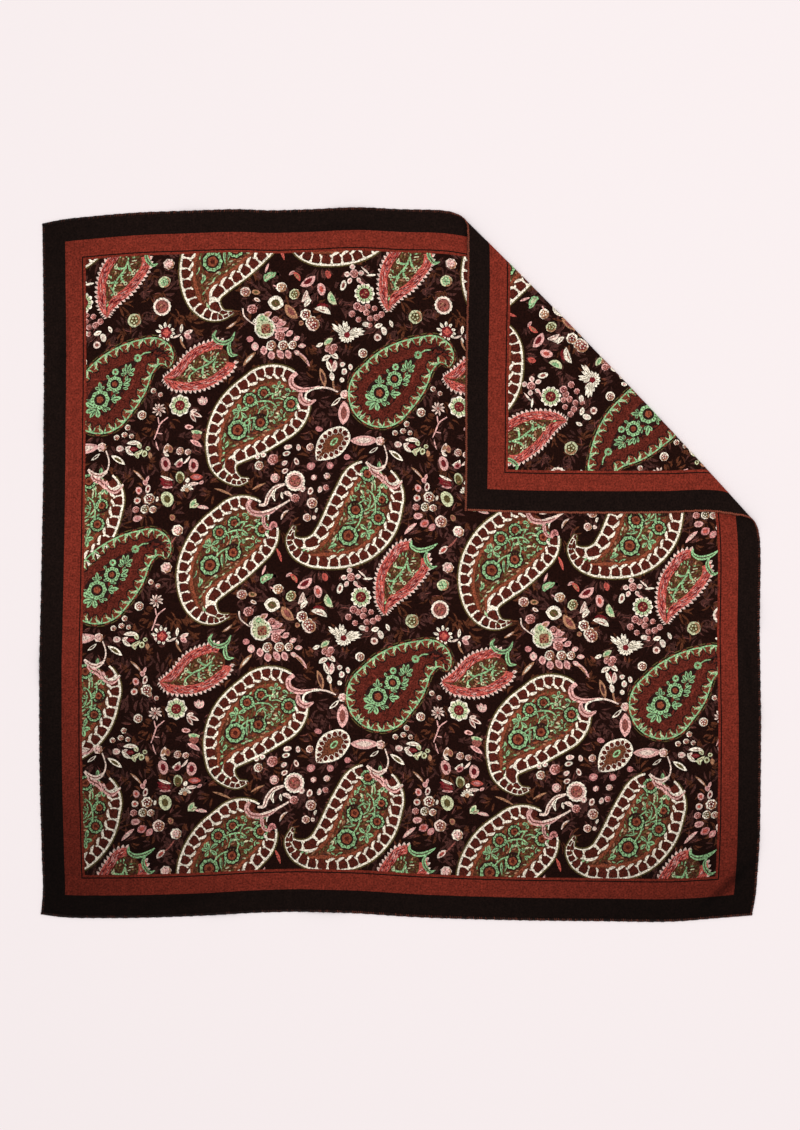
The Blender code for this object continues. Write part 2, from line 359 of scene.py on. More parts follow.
def disc(
    centre: tuple, outer: float, inner: float = 0.0, squash: float = 1.0, turn: float = 0.0,
    lobes: int = 0, depth: float = 0.0, sides: int = 14, opening: float | None = None, gap: float = 50.0,
) -> Grid:
    """A disc or ring, r = outer (1 + depth cos(lobes a)), flattened, turned, and open where asked.

    Args:
        centre: its middle.
        outer: its radius, in millimetres.
        inner: the radius of its hole.
        squash: its height as a share of its width.
        turn: how far it is turned, in degrees.
        lobes: how many lobes its rim has.
        depth: how deep they are, as a share of the radius.
        sides: how many sides it is drawn with.
        opening: the bearing of its open side in degrees, if it has one.
        gap: how wide that side opens each way, in degrees.

    Returns:
        A grid of two rows, the hole and the rim.
    """
    a = np.linspace(0, 2 * np.pi, sides + 1)
    if opening is not None:
        a = np.radians(opening + gap) + np.linspace(0, 2 * np.pi - 2 * math.radians(gap), sides + 1)
    rim = outer * (1 + depth * np.cos(lobes * a))
    radii = np.stack([np.full_like(rim, inner), rim])
    if opening is not None:
        middle, half = radii.mean(axis=0), (radii[1] - radii[0]) / 2
        taper = np.sin(np.linspace(0.12, 0.88, sides + 1) * np.pi) ** 0.5
        radii = np.stack([middle - half * taper, middle + half * taper])
    x, y = radii * np.cos(a), radii * np.sin(a) * squash
    c, s = math.cos(math.radians(turn)), math.sin(math.radians(turn))
    return np.stack([x * c - y * s, x * s + y * c], axis=-1) + np.asarray(centre, float)


def headings(degrees: float | np.ndarray) -> np.ndarray:
    """The unit vectors at angles."""
    return np.stack([np.cos(np.radians(degrees)), np.sin(np.radians(degrees))], axis=-1)


def stretch(start: np.ndarray, end: np.ndarray, low: float, high: float) -> tuple[np.ndarray, np.ndarray]:
    """The two ends of a part of a line, between two shares of its length."""
    return start + (end - start) * low, start + (end - start) * high


DEEP = -5.0  # the tone of a shape that is printed nearly black
SUBLEVEL, SUBLEVELS = 0.075, 12  # shapes drawn one after another lie so many levels apart, and so many do


@dataclass
class Pen:
    """Draws shapes with an ink at a level, each marked with its tone and with the place of its motif."""

    films: dict[Ink, list[Rows]] = field(default_factory=dict)
    anchor: tuple[float, float] = (0.0, 0.0)
    seed: int = 11

    def __post_init__(self) -> None:
        """Starts the seeded tones and the count of shapes, which keeps those that overlap apart."""
        self.rng = np.random.default_rng(self.seed)
        self.drawn = 0

    def draw(self, ink: Ink, level: float, grid: Grid, tone: float | None = None) -> None:
        """Adds a grid's triangles to an ink's screen; the tone is drawn from the seed where none is given.

        Args:
            ink: the screen.
            level: how many films lie under this one.
            grid: the shape.
            tone: how light it took, -5 (nearly black) to 1.4, or None.
        """
        corners = loft(grid)
        marks = np.empty((len(corners), 3, 4))
        marks[..., 0] = level + SUBLEVEL * (self.drawn % SUBLEVELS)
        self.drawn += 1
        marks[..., 1] = self.rng.uniform(-1, 1) if tone is None else tone
        marks[..., 2:] = self.anchor
        self.films.setdefault(ink, []).append(np.concatenate([corners, marks], axis=-1))


@dataclass(frozen=True)
class Motif:
    """Something the chart places; points are its places on the cut."""

    points: tuple

    def anchor(self) -> tuple[float, float]:
        """The middle of its places, which decides the copies that are printed."""
        return tuple(np.mean(np.array([p[:2] for p in self.points], float), axis=0))

    def print_with(self, pen: Pen) -> None:
        """Draws the motif with the pen at its own anchor."""
        pen.anchor = self.anchor()
        self.draw(pen)

    def draw(self, pen: Pen) -> None:
        """Draws the shapes, in a way of its own for each kind of motif.

        Args:
            pen: what draws them, its anchor already set.
        """
        raise NotImplementedError


@dataclass(frozen=True)
class Berry(Motif):
    """A round berry: a lightly lobed rim, a heart, and a ring of seeds in it."""

    radius: float
    rim: Ink
    heart: Ink

    def draw(self, pen: Pen) -> None:
        """Rim, heart and seeds."""
        centre, r = self.points[0], 0.94 * self.radius
        turn, heart = pen.rng.uniform(0, 60), BERRY if self.heart in (ROSE, CORAL) else self.heart
        lobes, depth = int(pen.rng.integers(5, 9)), pen.rng.uniform(0.03, 0.08)
        rim = disc(centre, r, lobes=lobes, depth=depth, turn=turn, squash=pen.rng.uniform(0.88, 1.0))
        pen.draw(self.rim, 3, rim)
        shaded = disc(centre, 0.93 * r, 0.6 * r, sides=10, opening=135 + turn, gap=105)
        pen.draw(BERRY if self.rim in (PINK, ROSE) else TAN, 4, shaded, -0.5)
        pen.draw(heart, 5, disc(centre, 0.66 * r, lobes=5, depth=0.06, turn=turn, sides=12))
        spots = np.asarray(centre) + 0.38 * r * headings(turn + np.arange(5) * 72)
        for spot in spots[: 5 if r > 3.0 else 3]:
            pen.draw(self.rim if heart is not self.rim else SHELL, 6, disc(spot, 0.15 * r, sides=5), 0.0)
            pen.draw(MAROON, 7, disc(spot + pen.rng.uniform(-0.3, 0.3, 2) * r, 0.11 * r, sides=4), -1.0)


@dataclass(frozen=True)
class Seed(Motif):
    """A small oval seed with or without a heart."""

    length: float
    width: float
    turn: float
    ink: Ink
    heart: Ink | None = None

    def draw(self, pen: Pen) -> None:
        """The oval and its heart."""
        centre, squash = self.points[0], self.width / self.length
        oval = disc(centre, self.length / 2, squash=squash, turn=self.turn, sides=12, lobes=3, depth=0.04)
        pen.draw(self.ink, 3, oval)
        if self.heart is not None:
            oval = disc(centre, self.length * 0.26, squash=squash, turn=self.turn, sides=10)
            pen.draw(self.heart, 4, oval, -1.0)


@dataclass(frozen=True)
class Petal(Motif):
    """A petal or leaf from its first place to its second, with or without a heart."""

    width: float
    bow: float
    ink: Ink
    heart: Ink | None = None

    def draw(self, pen: Pen) -> None:
        """The petal and its heart."""
        start, end = (np.asarray(p, float) for p in self.points)
        pen.draw(self.ink, 3, blade(start, end, self.width, self.bow, steps=9))
        if self.heart is not None:
            inner = stretch(start, end, 0.2, 0.8)
            pen.draw(self.heart, 4, blade(*inner, self.width * 0.56, self.bow * 0.6, steps=6), -1.0)
        elif self.width > 2.5:
            inner = stretch(start, end, 0.25, 0.85)
            pen.draw(BERRY, 4, blade(*inner, self.width * 0.2, self.bow * 0.6, steps=5), -1.0)


@dataclass(frozen=True)
class Vine(Motif):
    """A stroke through its places, its half width going from start through middle to end."""

    start: float
    middle: float
    end: float
    ink: Ink
    level: float = 4.0

    def draw(self, pen: Pen) -> None:
        """The stroke, half width = start(1-s)(1-2s) + 4 middle s(1-s) + end s(2s-1)."""
        path = spline(self.points, 5 * len(self.points))
        s = np.linspace(0, 1, len(path))
        half = self.start * (1 - s) * (1 - 2 * s) + 4 * self.middle * s * (1 - s) + self.end * s * (2 * s - 1)
        pen.draw(self.ink, self.level, ribbon(path, 0.88 * half.clip(0.17)))
        if half.max() > 1.5:
            inner = slice(len(path) // 6, -len(path) // 8)
            pen.draw(BERRY if self.ink in (PINK, ROSE, SHELL) else TONAL, self.level + 1,
                     ribbon(path[inner], 0.2 * half[inner]), -1.5)


@dataclass(frozen=True)
class Rosette(Motif):
    """A round flower: scalloped pale petals, a ring of green ticks, and a dark heart."""

    radius: float
    petals: int
    heart: float
    ink: Ink

    def draw(self, pen: Pen) -> None:
        """Scallops, ticks and heart."""
        centre, r = np.asarray(self.points[0]), self.radius
        green = self.ink is CRIMSON
        rim, tick = (PALE, GREEN) if green else (SHELL, PINK)
        scallop = 0.075 if green else 0.03
        pen.draw(CREAM, 3, disc(centre, 0.95 * r, lobes=self.petals, depth=scallop, sides=6 * self.petals))
        pen.draw(rim, 4, disc(centre, 0.82 * r, lobes=self.petals, depth=0.05, sides=3 * self.petals))
        a = 2 * np.pi * np.arange(2 * self.petals) / (2 * self.petals)
        for k, way in enumerate(np.stack([np.cos(a), np.sin(a)], axis=1)):
            shape = blade(centre + way * (self.heart + 0.4), centre + way * 0.78 * r, 1.1, steps=4)
            pen.draw(tick, 5, shape, 0.0)
            if green and k % 2:
                parting = blade(centre + way * self.heart, centre + way * 0.97 * r, 0.9, steps=4, belly=0.7)
                pen.draw(TONAL, 6, parting, DEEP)
        pen.draw(BROWN, 7, disc(centre, self.heart + 0.8, sides=14), -2.0)
        pen.draw(self.ink, 8, disc(centre, self.heart, lobes=6, depth=0.06, sides=18))
        for spot in centre + pen.rng.uniform(-0.6, 0.6, (9, 2)) * self.heart:
            ink = (CORAL, TAN, MAROON)[int(pen.rng.integers(3))]
            pen.draw(ink, 9, disc(spot, 0.16 * self.heart, sides=6), 0.0)


@dataclass(frozen=True)
class Daisy(Motif):
    """A flower of thin petals, each with its own bearing and length, round a small heart."""

    ink: Ink
    heart: Ink
    radius: float
    petals: tuple

    def draw(self, pen: Pen) -> None:
        """Petals widest past their middle, then the heart."""
        centre = np.asarray(self.points[0])
        width = 1.2 + 0.16 * self.radius + 0.06 * max(length for _, length in self.petals)
        for bearing, length in self.petals:
            way = headings(bearing)
            petal = blade(centre + way * 0.6 * self.radius, centre + way * length, width, 0.5, belly=0.62)
            pen.draw(self.ink, 3, petal)
            vein_end = centre + way * (0.3 * self.radius + 0.7 * length)
            vein = blade(centre + way * self.radius, vein_end, 0.6, 0.3, steps=4)
            pen.draw(OLIVE if self.ink in (CREAM, PALE) else BERRY, 4, vein, -1.0)
        pen.draw(self.heart, 5, disc(centre, self.radius, lobes=5, depth=0.1, sides=15))
        if self.radius > 4:
            pen.draw(CORAL, 6, disc(centre, 0.6 * self.radius, lobes=4, depth=0.2, sides=16))


Depth = float | Callable[[np.ndarray], np.ndarray]  # one depth, or a function of the distance along a rim


class Teardrop:
    """The rim of a paisley: the line that touches a row of discs from its head to the tip of its tail.

    With T the spine's direction, N across it, w the half width and g = dw/ds, the rim's two sides are
    c + w(-g T +- sqrt(1 - g squared) N), joined by an arc round the head.
    """

    samples = 90
    cap_samples = 23

    def __init__(self, rows: tuple, hand: int, deepest: float) -> None:
        """Works out the rim.

        Args:
            rows: (u, v, half width) of the discs.
            hand: 1 or -1, which side of the spine the rim starts down from the head's crown.
            deepest: how deep the bands inside the rim go; where there is less room they shrink.
        """
        path = spline(rows, self.samples)
        centre, half = path[:, :2], path[:, 2].clip(0.4)
        along = np.gradient(centre, axis=0)
        length = np.hypot(*along.T)
        along /= length[:, None]
        across = np.stack([-along[:, 1], along[:, 0]], axis=1) * hand
        lean = np.clip(np.gradient(half) / length, -0.97, 0.97)
        upright = np.sqrt(1 - lean**2)
        one = -lean[:, None] * along + upright[:, None] * across
        other = -lean[:, None] * along - upright[:, None] * across
        caps = self.cap_samples
        sweep = np.linspace(0, math.atan2(upright[0], lean[0]), caps + 1)[:-1]
        cap = np.cos(sweep)[:, None] * -along[0] + np.sin(sweep)[:, None] * across[0]
        mirror = (np.cos(sweep)[:, None] * -along[0] - np.sin(sweep)[:, None] * across[0])[::-1]
        ways = np.concatenate([cap, one, other[::-1], mirror])
        head = np.repeat(centre[:1], caps, 0)
        cores = np.concatenate([head, centre, centre[::-1], head])
        room = np.concatenate([np.full(caps, half[0]), half, half[::-1], np.full(caps, half[0])])
        rim = cores + ways * room[:, None]
        run = np.concatenate([[0.0], np.cumsum(np.hypot(*np.diff(rim, axis=0).T))])
        self.spine, self.across, self.half = centre, across, half
        self.run, self.rim, self.cores, self.room = run, rim, cores, room
        self.length, self.tail, self.deepest = run[-1], run[caps + self.samples], deepest

    def shrink(self, along: np.ndarray) -> np.ndarray:
        """How much the bands shrink at places along the rim for want of room."""
        return np.clip(0.92 * np.interp(along % self.length, self.run, self.room) / self.deepest, 0.2, 1)

    def along_rim(self, values: np.ndarray, along: np.ndarray) -> np.ndarray:
        """Places of the rim, or of its cores, at distances along it."""
        return np.stack([np.interp(along, self.run, values[:, k]) for k in (0, 1)], axis=-1)

    def at(self, along: np.ndarray, depth: np.ndarray) -> np.ndarray:
        """Places that deep inside the rim, at those distances along it; a negative depth is outside."""
        along = np.asarray(along, float) % self.length
        rim, cores = self.along_rim(self.rim, along), self.along_rim(self.cores, along)
        room = np.interp(along, self.run, self.room)
        share = np.asarray(depth) * np.where(np.asarray(depth) > 0, self.shrink(along), 1.0) / room
        return rim + (cores - rim) * share[..., None]

    def band(
        self, outer: Depth, inner: Depth, start: float = 0.0, end: float | None = None, step: float = 2.2
    ) -> Grid:
        """The strip between two depths from start to end along the rim.

        Args:
            outer: the shallower depth, one number or a function of the distance along the rim.
            inner: the deeper one.
            start: where it starts, in millimetres along the rim.
            end: where it ends, or None for all the way round.
            step: how far apart its places are.

        Returns:
            A grid of two rows.
        """
        end = self.length if end is None else end
        along = np.linspace(start, end, max(4, int((end - start) / step)))
        depths = [d(along) if callable(d) else np.full_like(along, d) for d in (outer, inner)]
        return np.stack([self.at(along, depth) for depth in depths])

    def filling(self, depth: float, rings: int = 4, step: float = 3.0) -> Grid:
        """All that lies deeper than a depth, out to the spine."""
        along = np.linspace(0, self.length, int(self.length / step))
        outer = self.at(along, np.full_like(along, depth))
        cores = self.along_rim(self.cores, along)
        share = np.linspace(0, 1, rings)[:, None, None]
        return outer + (cores - outer) * share

    def pitches(self, pitch: float, start: float, end: float) -> np.ndarray:
        """Places along the rim a pitch apart, closer where the bands shrink."""
        along = np.linspace(start, end, 400)
        dense = np.concatenate([[0.0], np.cumsum(np.diff(along) / self.shrink(along[1:]).clip(0.55))])
        return np.interp(np.linspace(0, dense[-1], max(2, round(dense[-1] / pitch) + 1)), dense, along)

    def stamp(self, grid: Grid, spots: np.ndarray) -> Grid:
        """A small shape set at each of some places along the rim.

        Args:
            grid: the shape, in millimetres towards the tail and deep.
            spots: the places, as distances along the rim.

        Returns:
            A grid of all of them.
        """
        way = np.where(spots < self.tail, 1.0, -1.0) * self.shrink(spots).clip(0.5)
        along = spots[:, None, None] + way[:, None, None] * grid[..., 0]
        return self.at(along, np.broadcast_to(grid[..., 1], along.shape))

    def inside(self, share: float, across: float) -> tuple[float, float]:
        """A place inside, by shares of the spine's length, negative ahead of it, and of the half width.

        Args:
            share: how far along.
            across: how far across.

        Returns:
            The place on the cut.
        """
        k = share * (len(self.spine) - 1)
        index = np.arange(len(self.spine))
        centre = [np.interp(k, index, self.spine[:, c]) for c in (0, 1)]
        way = [np.interp(k, index, self.across[:, c]) for c in (0, 1)]
        half = np.interp(k, index, self.half)
        centre = centre + (self.spine[1] - self.spine[0]) * min(k, 0.0)
        return centre[0] + way[0] * half * across, centre[1] + way[1] * half * across

    def shares(self, place: tuple[float, float]) -> tuple[float, float]:
        """The other way round: the shares of a place.

        Args:
            place: a place on the cut.

        Returns:
            The two shares.
        """
        away = np.array(place) - self.spine
        nearest = int(np.argmin(np.hypot(*away.T)))
        along = np.gradient(self.spine, axis=0)[nearest]
        k = nearest + float(away[nearest] @ along / (along @ along))
        centre, way = self.inside(k / (len(self.spine) - 1), 0.0), self.inside(k / (len(self.spine) - 1), 1.0)
        beside = np.subtract(way, centre)
        return k / (len(self.spine) - 1), float(np.subtract(place, centre) @ beside / (beside @ beside))


def shared(body: Teardrop, *chart: float) -> list[np.ndarray]:
    """Places charted in the first great paisley, at the same shares of another's body."""
    return [np.array(body.inside(*FIRST_BODY.shares(place))) for place in places(*chart)]


def leafwork(
    pen: Pen, body: Teardrop, depth: float, pitch: float, flowers: list, inks: tuple[Ink, ...]
) -> None:
    """Fills a paisley's middle with small leaves that fan from its spine towards its head.

    Args:
        pen: what draws them.
        body: the paisley's rim.
        depth: how far inside the rim the leaves start.
        pitch: how far apart they are, in millimetres.
        flowers: places and radii of what they keep clear of.
        inks: the inks they are drawn in by turns, at random.
    """
    run = np.concatenate([[0.0], np.cumsum(np.hypot(*np.diff(body.spine, axis=0).T))])
    ahead = max(body.half[0] - depth, 0.0)
    for reached in np.arange(-ahead, run[-1], pitch):
        k = int(np.searchsorted(run, reached).clip(1, len(run) - 1))
        way = body.spine[k - 1] - body.spine[k]
        way, side, room = way / np.hypot(*way), body.across[k], max(body.half[k] - depth, 0.0)
        if reached < 0:
            room = math.sqrt(max(ahead**2 - reached**2, 0.0))
        for across in np.arange(-room, room + 0.1, pitch):
            spot = body.spine[k] + way * max(-reached, 0.0) + side * across
            spot = spot + pen.rng.uniform(-0.3, 0.3, 2) * pitch
            if any(math.hypot(*(spot - place)) < radius + 0.9 for place, radius in flowers):
                continue
            aim = way + side * (0.9 if across > 0 else -0.9) * pen.rng.uniform(0.2, 1.6)
            reach = aim / np.hypot(*aim) * pen.rng.uniform(0.45, 0.75) * pitch
            width, bow = pen.rng.uniform(0.4, 0.58) * pitch, pen.rng.uniform(-0.5, 0.5)
            leaf = blade(spot - reach, spot + reach, width, bow, steps=6)
            pen.draw(inks[int(pen.rng.integers(len(inks)))], 2, leaf, pen.rng.uniform(-2.6, 1.4))


@dataclass(frozen=True)
class GreatPaisley(Motif):
    """A large paisley: cream rim, dark dentils between cream spokes, rust band and green flowers."""

    hand: int
    pitch: float = 11.3
    mouth: tuple[float, float] = (13.5, 24.0)
    deepest: tuple[float, float] = (17.0, 11.0)
    rust_band: tuple = ((0, 14), (0.1, 17), (0.2, 15.5), (0.33, 12.6), (0.5, 12), (0.7, 12.6), (0.85, 14),
                        (1, 14))

    def body(self) -> Teardrop:
        """Its rim, with room for the deepest bands."""
        return Teardrop(self.points, self.hand, self.deepest[0])

    def rust_depth(self, body: Teardrop, more: float) -> Depth:
        """How deep the rust band lies along the rim, and so much more."""
        return lambda along: np.interp(along / body.length, *np.array(self.rust_band).T) + more

    def draw(self, pen: Pen) -> None:
        """Halo, rim, dentils, spokes, rust band, ground and flowers."""
        body, edge = self.body(), Teardrop(self.points, self.hand, self.deepest[1])
        first, last = self.mouth[0], body.length - self.mouth[1]
        pen.draw(OLIVE, 1, body.band(-1.5, 0.3, first, last), -1.0)
        pen.draw(BROWN, 0, body.filling(8.0), -1.9)
        pen.draw(CREAM, 2, body.band(-0.1, 1.9, first - 3, last + 3), 0.0)
        rust = body.band(self.rust_depth(body, 0.0), self.rust_depth(body, 3.3), first - 4, last + 6)
        pen.draw(RUST, 1, rust, -0.2)
        spots = edge.pitches(self.pitch, first + 4, last - 3)
        gaps = (spots[1:] + spots[:-1]) / 2
        spoke = ribbon(np.array([(0, 1.0), (0, 4.5), (0, 9.6)]), np.array([1.9, 0.8, 1.6]))
        pen.draw(CREAM, 2, edge.stamp(spoke, gaps), 0.0)
        for spot in spots:
            size, lean = pen.rng.uniform(0.92, 1.06), pen.rng.uniform(-14, 14)
            squash = pen.rng.uniform(0.86, 1.0)
            dentil = disc((0.0, 6.6), 5.3 * size, lobes=4, depth=-0.15, squash=squash, turn=lean, sides=16)
            pen.draw(MAROON, 3, edge.stamp(dentil, np.array([spot])))
        drop = blade((1.2, 8.0), (-8.6, 12.4), 2.9, bow=-1.5, steps=8)
        beside = gaps[(gaps < 0.42 * body.length) | (gaps > 0.62 * body.length)]
        pen.draw(CREAM, 4, edge.stamp(drop, beside), 0.0)
        pen.draw(CREAM, 4, edge.stamp(blade((-0.3, 8.4), (2.6, 10.8), 2.0, steps=5), gaps), 0.0)
        kept_clear = [(*shared(body, *row[:2]), row[2]) for row in GREAT_RINGS]
        inks = (GREEN, OLIVE, TAN, GREEN, OLIVE, RUST, TONAL, PALE, OLIVE)
        leafwork(pen, body, 17.2, 3.7, kept_clear, inks)
        self.draw_flowers(pen, body)

    def draw_flowers(self, pen: Pen, body: Teardrop) -> None:
        """The green rings, leaves and vines inside, each placed by its share along and across the spine.

        Args:
            pen: what draws them.
            body: the rim they lie in.
        """
        for *chart, radius, opening in GREAT_RINGS:
            centre = shared(body, *chart)[0]
            ring = disc(
                centre, 0.95 * radius, 0.66 * radius, lobes=9, depth=0.07, sides=27, opening=opening, gap=36
            )
            pen.draw(TONAL, 2, disc(centre, 1.12 * radius, sides=18), DEEP)
            pen.draw(GREEN, 3, ring)
            pen.draw(RUST, 4, disc(centre, 0.5 * radius, lobes=5, depth=0.08, sides=15))
            pen.draw(MAROON, 5, disc(centre, 0.24 * radius, sides=8))
            for way in headings(np.arange(13) * 27.7 + 20) * radius:
                pen.draw(OLIVE, 4, blade(centre + way * 0.6, centre + way * 0.9, 1.0, steps=4), -2.5)
        for *chart, width, bow in GREAT_LEAVES:
            start, end = shared(body, *chart)
            pen.draw(GREEN, 3, blade(start, end, 0.76 * width, bow * self.hand, belly=0.6))
            pen.draw(TONAL, 4, blade(*stretch(start, end, 0.2, 0.8), 1.0, steps=4), -3.0)
        for first, middle, last, *chart in GREAT_VINES:
            Vine(tuple(shared(body, *chart)), first, middle, last, GREEN, 3).draw(pen)


@dataclass(frozen=True)
class HookPaisley(Motif):
    """A paisley with a green rim, hooks between rust pockets, and green flowers down its brick middle."""

    hand: int
    pitch: float = 12.4
    deepest: float = 12.0

    def draw(self, pen: Pen) -> None:
        """Halo, middle, pockets, rim, hooks and flowers."""
        body = Teardrop(self.points, self.hand, self.deepest)
        pen.draw(OLIVE, 1, body.band(-2.4, -1.4), -1.0)
        pen.draw(BRICK, 0, body.filling(0.0, rings=5), -2.0)
        pen.draw(TONAL, 1, body.filling(18.5), DEEP)
        hooks = body.pitches(self.pitch, 2, body.length - 2)
        between = (hooks[1:] + hooks[:-1]) / 2
        pen.draw(TONAL, 2, body.stamp(disc((0.4, 3.6), 5.6, squash=1.2, sides=14), between), DEEP)
        pen.draw(RUST, 3, body.stamp(disc((0.4, 3.4), 4.6, squash=1.15, sides=14), between), -1.6)
        for shift in (-2.3, 0.0, 2.3):
            line = blade((shift, 2.0), (shift * 0.6 + 0.4, 7.6), 0.9, steps=4)
            pen.draw(BRICK, 4, body.stamp(line, between), -1.0)
        pen.draw(GREEN, 4, body.band(0.0, 1.3), 0.4)
        pen.draw(GREEN, 5, body.stamp(blade((0, 0.4), (-4.6, 9.2), 2.1, bow=1.8, belly=0.3), hooks))
        pen.draw(GREEN, 5, body.stamp(blade((-0.4, 0.6), (2.4, 6.6), 1.5, bow=-0.9, belly=0.36), hooks))
        pen.draw(PALE, 5, body.stamp(blade((0.2, 0.8), (-7.6, 5.6), 1.1, bow=-1.2, belly=0.36), hooks))
        leafwork(pen, body, 13.5, 5.2, [(at(*row[:2]), row[2]) for row in HOOK_RINGS], (BRICK, MAROON, BRICK))
        for right, down, radius, heart in HOOK_RINGS:
            place = at(right, down)
            pen.draw(GREEN, 3, disc(place, 0.96 * radius, 1.06 * heart, lobes=8, depth=0.06, sides=32))
            pen.draw(RUST, 4, disc(place, 0.62 * heart, lobes=5, depth=0.1, sides=15))
            if radius > 6:
                for way in headings(np.arange(16) * 22.5) * radius:
                    pen.draw(OLIVE, 4, blade(place + way * 0.64, place + way * 0.9, 1.0, steps=4), -2.5)
        for *chart, width in HOOK_PETALS:
            start, end = np.array(places(*chart))
            pen.draw(GREEN, 4, blade(start, end, 0.84 * width, belly=0.62))
            pen.draw(TONAL, 5, blade(*stretch(start, end, 0.15, 0.85), 1.1, steps=4), DEEP)


@dataclass(frozen=True)
class SawPaisley(Motif):
    """A coral paisley with a saw-toothed edge and a branching green vine inside."""

    hand: int
    deepest: float = 9.6
    mouth: float = 13.0

    def draw(self, pen: Pen) -> None:
        """Teeth, coral band with brick lines, ground and vine."""
        body = Teardrop(self.points, self.hand, self.deepest)
        start, end = self.mouth, body.length - self.mouth
        teeth = body.pitches(4.6, start - 1, end + 1)
        pen.draw(SHELL, 1, body.stamp(blade((0.6, 2.0), (-1.0, -3.0), 3.6, belly=0.3, steps=5), teeth))
        pen.draw(PINK, 2, body.stamp(blade((0.4, 1.8), (-0.6, -1.6), 2.2, belly=0.3, steps=5), teeth))
        pen.draw(BROWN, 1, body.filling(7.0), -3.0)
        pen.draw(CORAL, 3, body.band(0.2, 8.6, start, end), 0.2)
        for ink, number, width in ((CRIMSON, 170, 0.8), (PINK, 90, 0.5), (SHELL, 16, 0.4)):
            for spot, deep in pen.rng.uniform((start, 0.2), (end - 6, 7.4), (number, 2)):
                way = 1.0 if spot < body.tail else -1.0
                streak = blade((0.0, deep), (5.4, deep + 0.9), width, 0.5 * way, steps=4)
                pen.draw(ink, 4, body.stamp(streak, np.array([spot])), pen.rng.uniform(-2, 1.5))
        leafwork(pen, body, 8.9, 2.9, [], (GREEN, OLIVE, TAN, PALE, OLIVE, TONAL, OLIVE))
        self.draw_vine(pen, body)

    def draw_vine(self, pen: Pen, body: Teardrop) -> None:
        """The stem down the middle and its curling side leaves.

        Args:
            pen: what draws them.
            body: the rim they lie in.
        """
        turns = ((0.0, 0.1), (0.18, 0.0), (0.36, 0.04), (0.55, -0.04))
        stem = tuple(body.inside(*shares) for shares in turns)
        Vine(stem, 0.9, 0.9, 0.4, GREEN, 4).draw(pen)
        leaves = ((0.1, 1, 0.42, 2.3), (0.24, -1, 0.44, 2.3), (0.36, 1, 0.42, 2.0), (0.02, -1, 0.46, 2.4),
                  (0.48, -1, 0.34, 1.9))
        for share, side, reach, width in leaves:
            start, end = np.array(body.inside(share, 0.02)), np.array(body.inside(share + 0.1, side * reach))
            pen.draw(GREEN, 4, blade(start, end, width, side * 1.6, belly=0.62))
            pen.draw(PALE, 5, disc(end, 1.9, 1.0, sides=10))
        for share, across in ((0.02, 0.36), (0.14, -0.3), (0.28, 0.28), (0.4, -0.26), (0.5, 0.2), (0.6, 0.0)):
            pen.draw(TAN, 4, disc(body.inside(share, across), 1.5, sides=7, squash=0.7, turn=30))


@dataclass(frozen=True)
class EyePaisley(Motif):
    """A small paisley: a cream rim scalloped round dark dots, a rust middle and a green eye."""

    hand: int
    deepest: float = 8.5

    def draw(self, pen: Pen) -> None:
        """Rim, scallops, dots, middle and eye."""
        body = Teardrop(self.points, self.hand, self.deepest)
        pen.draw(BROWN, 1, body.filling(0.0), 0.4)
        pen.draw(CREAM, 2, body.band(0.0, 1.9), 0.0)
        dots = body.pitches(6.9, 2, body.length - 2)
        pen.draw(CREAM, 3, body.stamp(disc((0.0, 3.6), 3.5, sides=12), dots), 0.0)
        pen.draw(MAROON, 4, body.stamp(disc((0.0, 4.2), 2.6, lobes=4, depth=0.08, sides=12), dots))
        eye = np.array(body.inside(0.2, 0.0))
        pen.draw(GREEN, 3, disc(eye, 4.9, squash=0.56, turn=45, sides=12), 0.5)
        pen.draw(OLIVE, 4, disc(eye, 3.0, squash=0.45, turn=45, sides=10), -2.0)


@dataclass(frozen=True)
class Gourd(Motif):
    """The pale gourd flower over the berry cone: two round lobes with green flecks and a brown heart."""

    def draw(self, pen: Pen) -> None:
        """Lobes, flecks and heart."""
        base = np.array(self.points[0])
        for shift, radius in (((0.0, -1.0), 10.4), ((-2.2, 6.2), 7.0)):
            pen.draw(CREAM, 3, disc(base + shift, radius, lobes=9, depth=0.03, sides=27), -1.0)
            pen.draw(PALE, 4, disc(base + shift, 0.84 * radius, sides=18), -0.6)
        for degrees in np.arange(13) * 27.7:
            way, ink = headings(degrees), OLIVE if math.radians(degrees) % 0.8 < 0.4 else GREEN
            tick = base + (0.0, -1.0) + way * 6.6
            pen.draw(ink, 5, blade(tick, tick + way * 2.4, 1.3, steps=4), -1.0)
        pen.draw(GREEN, 5, disc(base + (-2.4, 8.6), 2.6, 1.1, sides=12), -1.5)
        heart = base + (1.2, -1.6)
        pen.draw(TAN, 6, disc(heart, 5.4, lobes=4, depth=0.1, squash=0.94, turn=52, sides=16), -2.0)
        for spot in heart + pen.rng.uniform(-3.8, 3.8, (16, 2)):
            pen.draw((CRIMSON, MAROON, CORAL)[int(pen.rng.integers(3))], 7, disc(spot, 0.9, sides=5), -0.5)
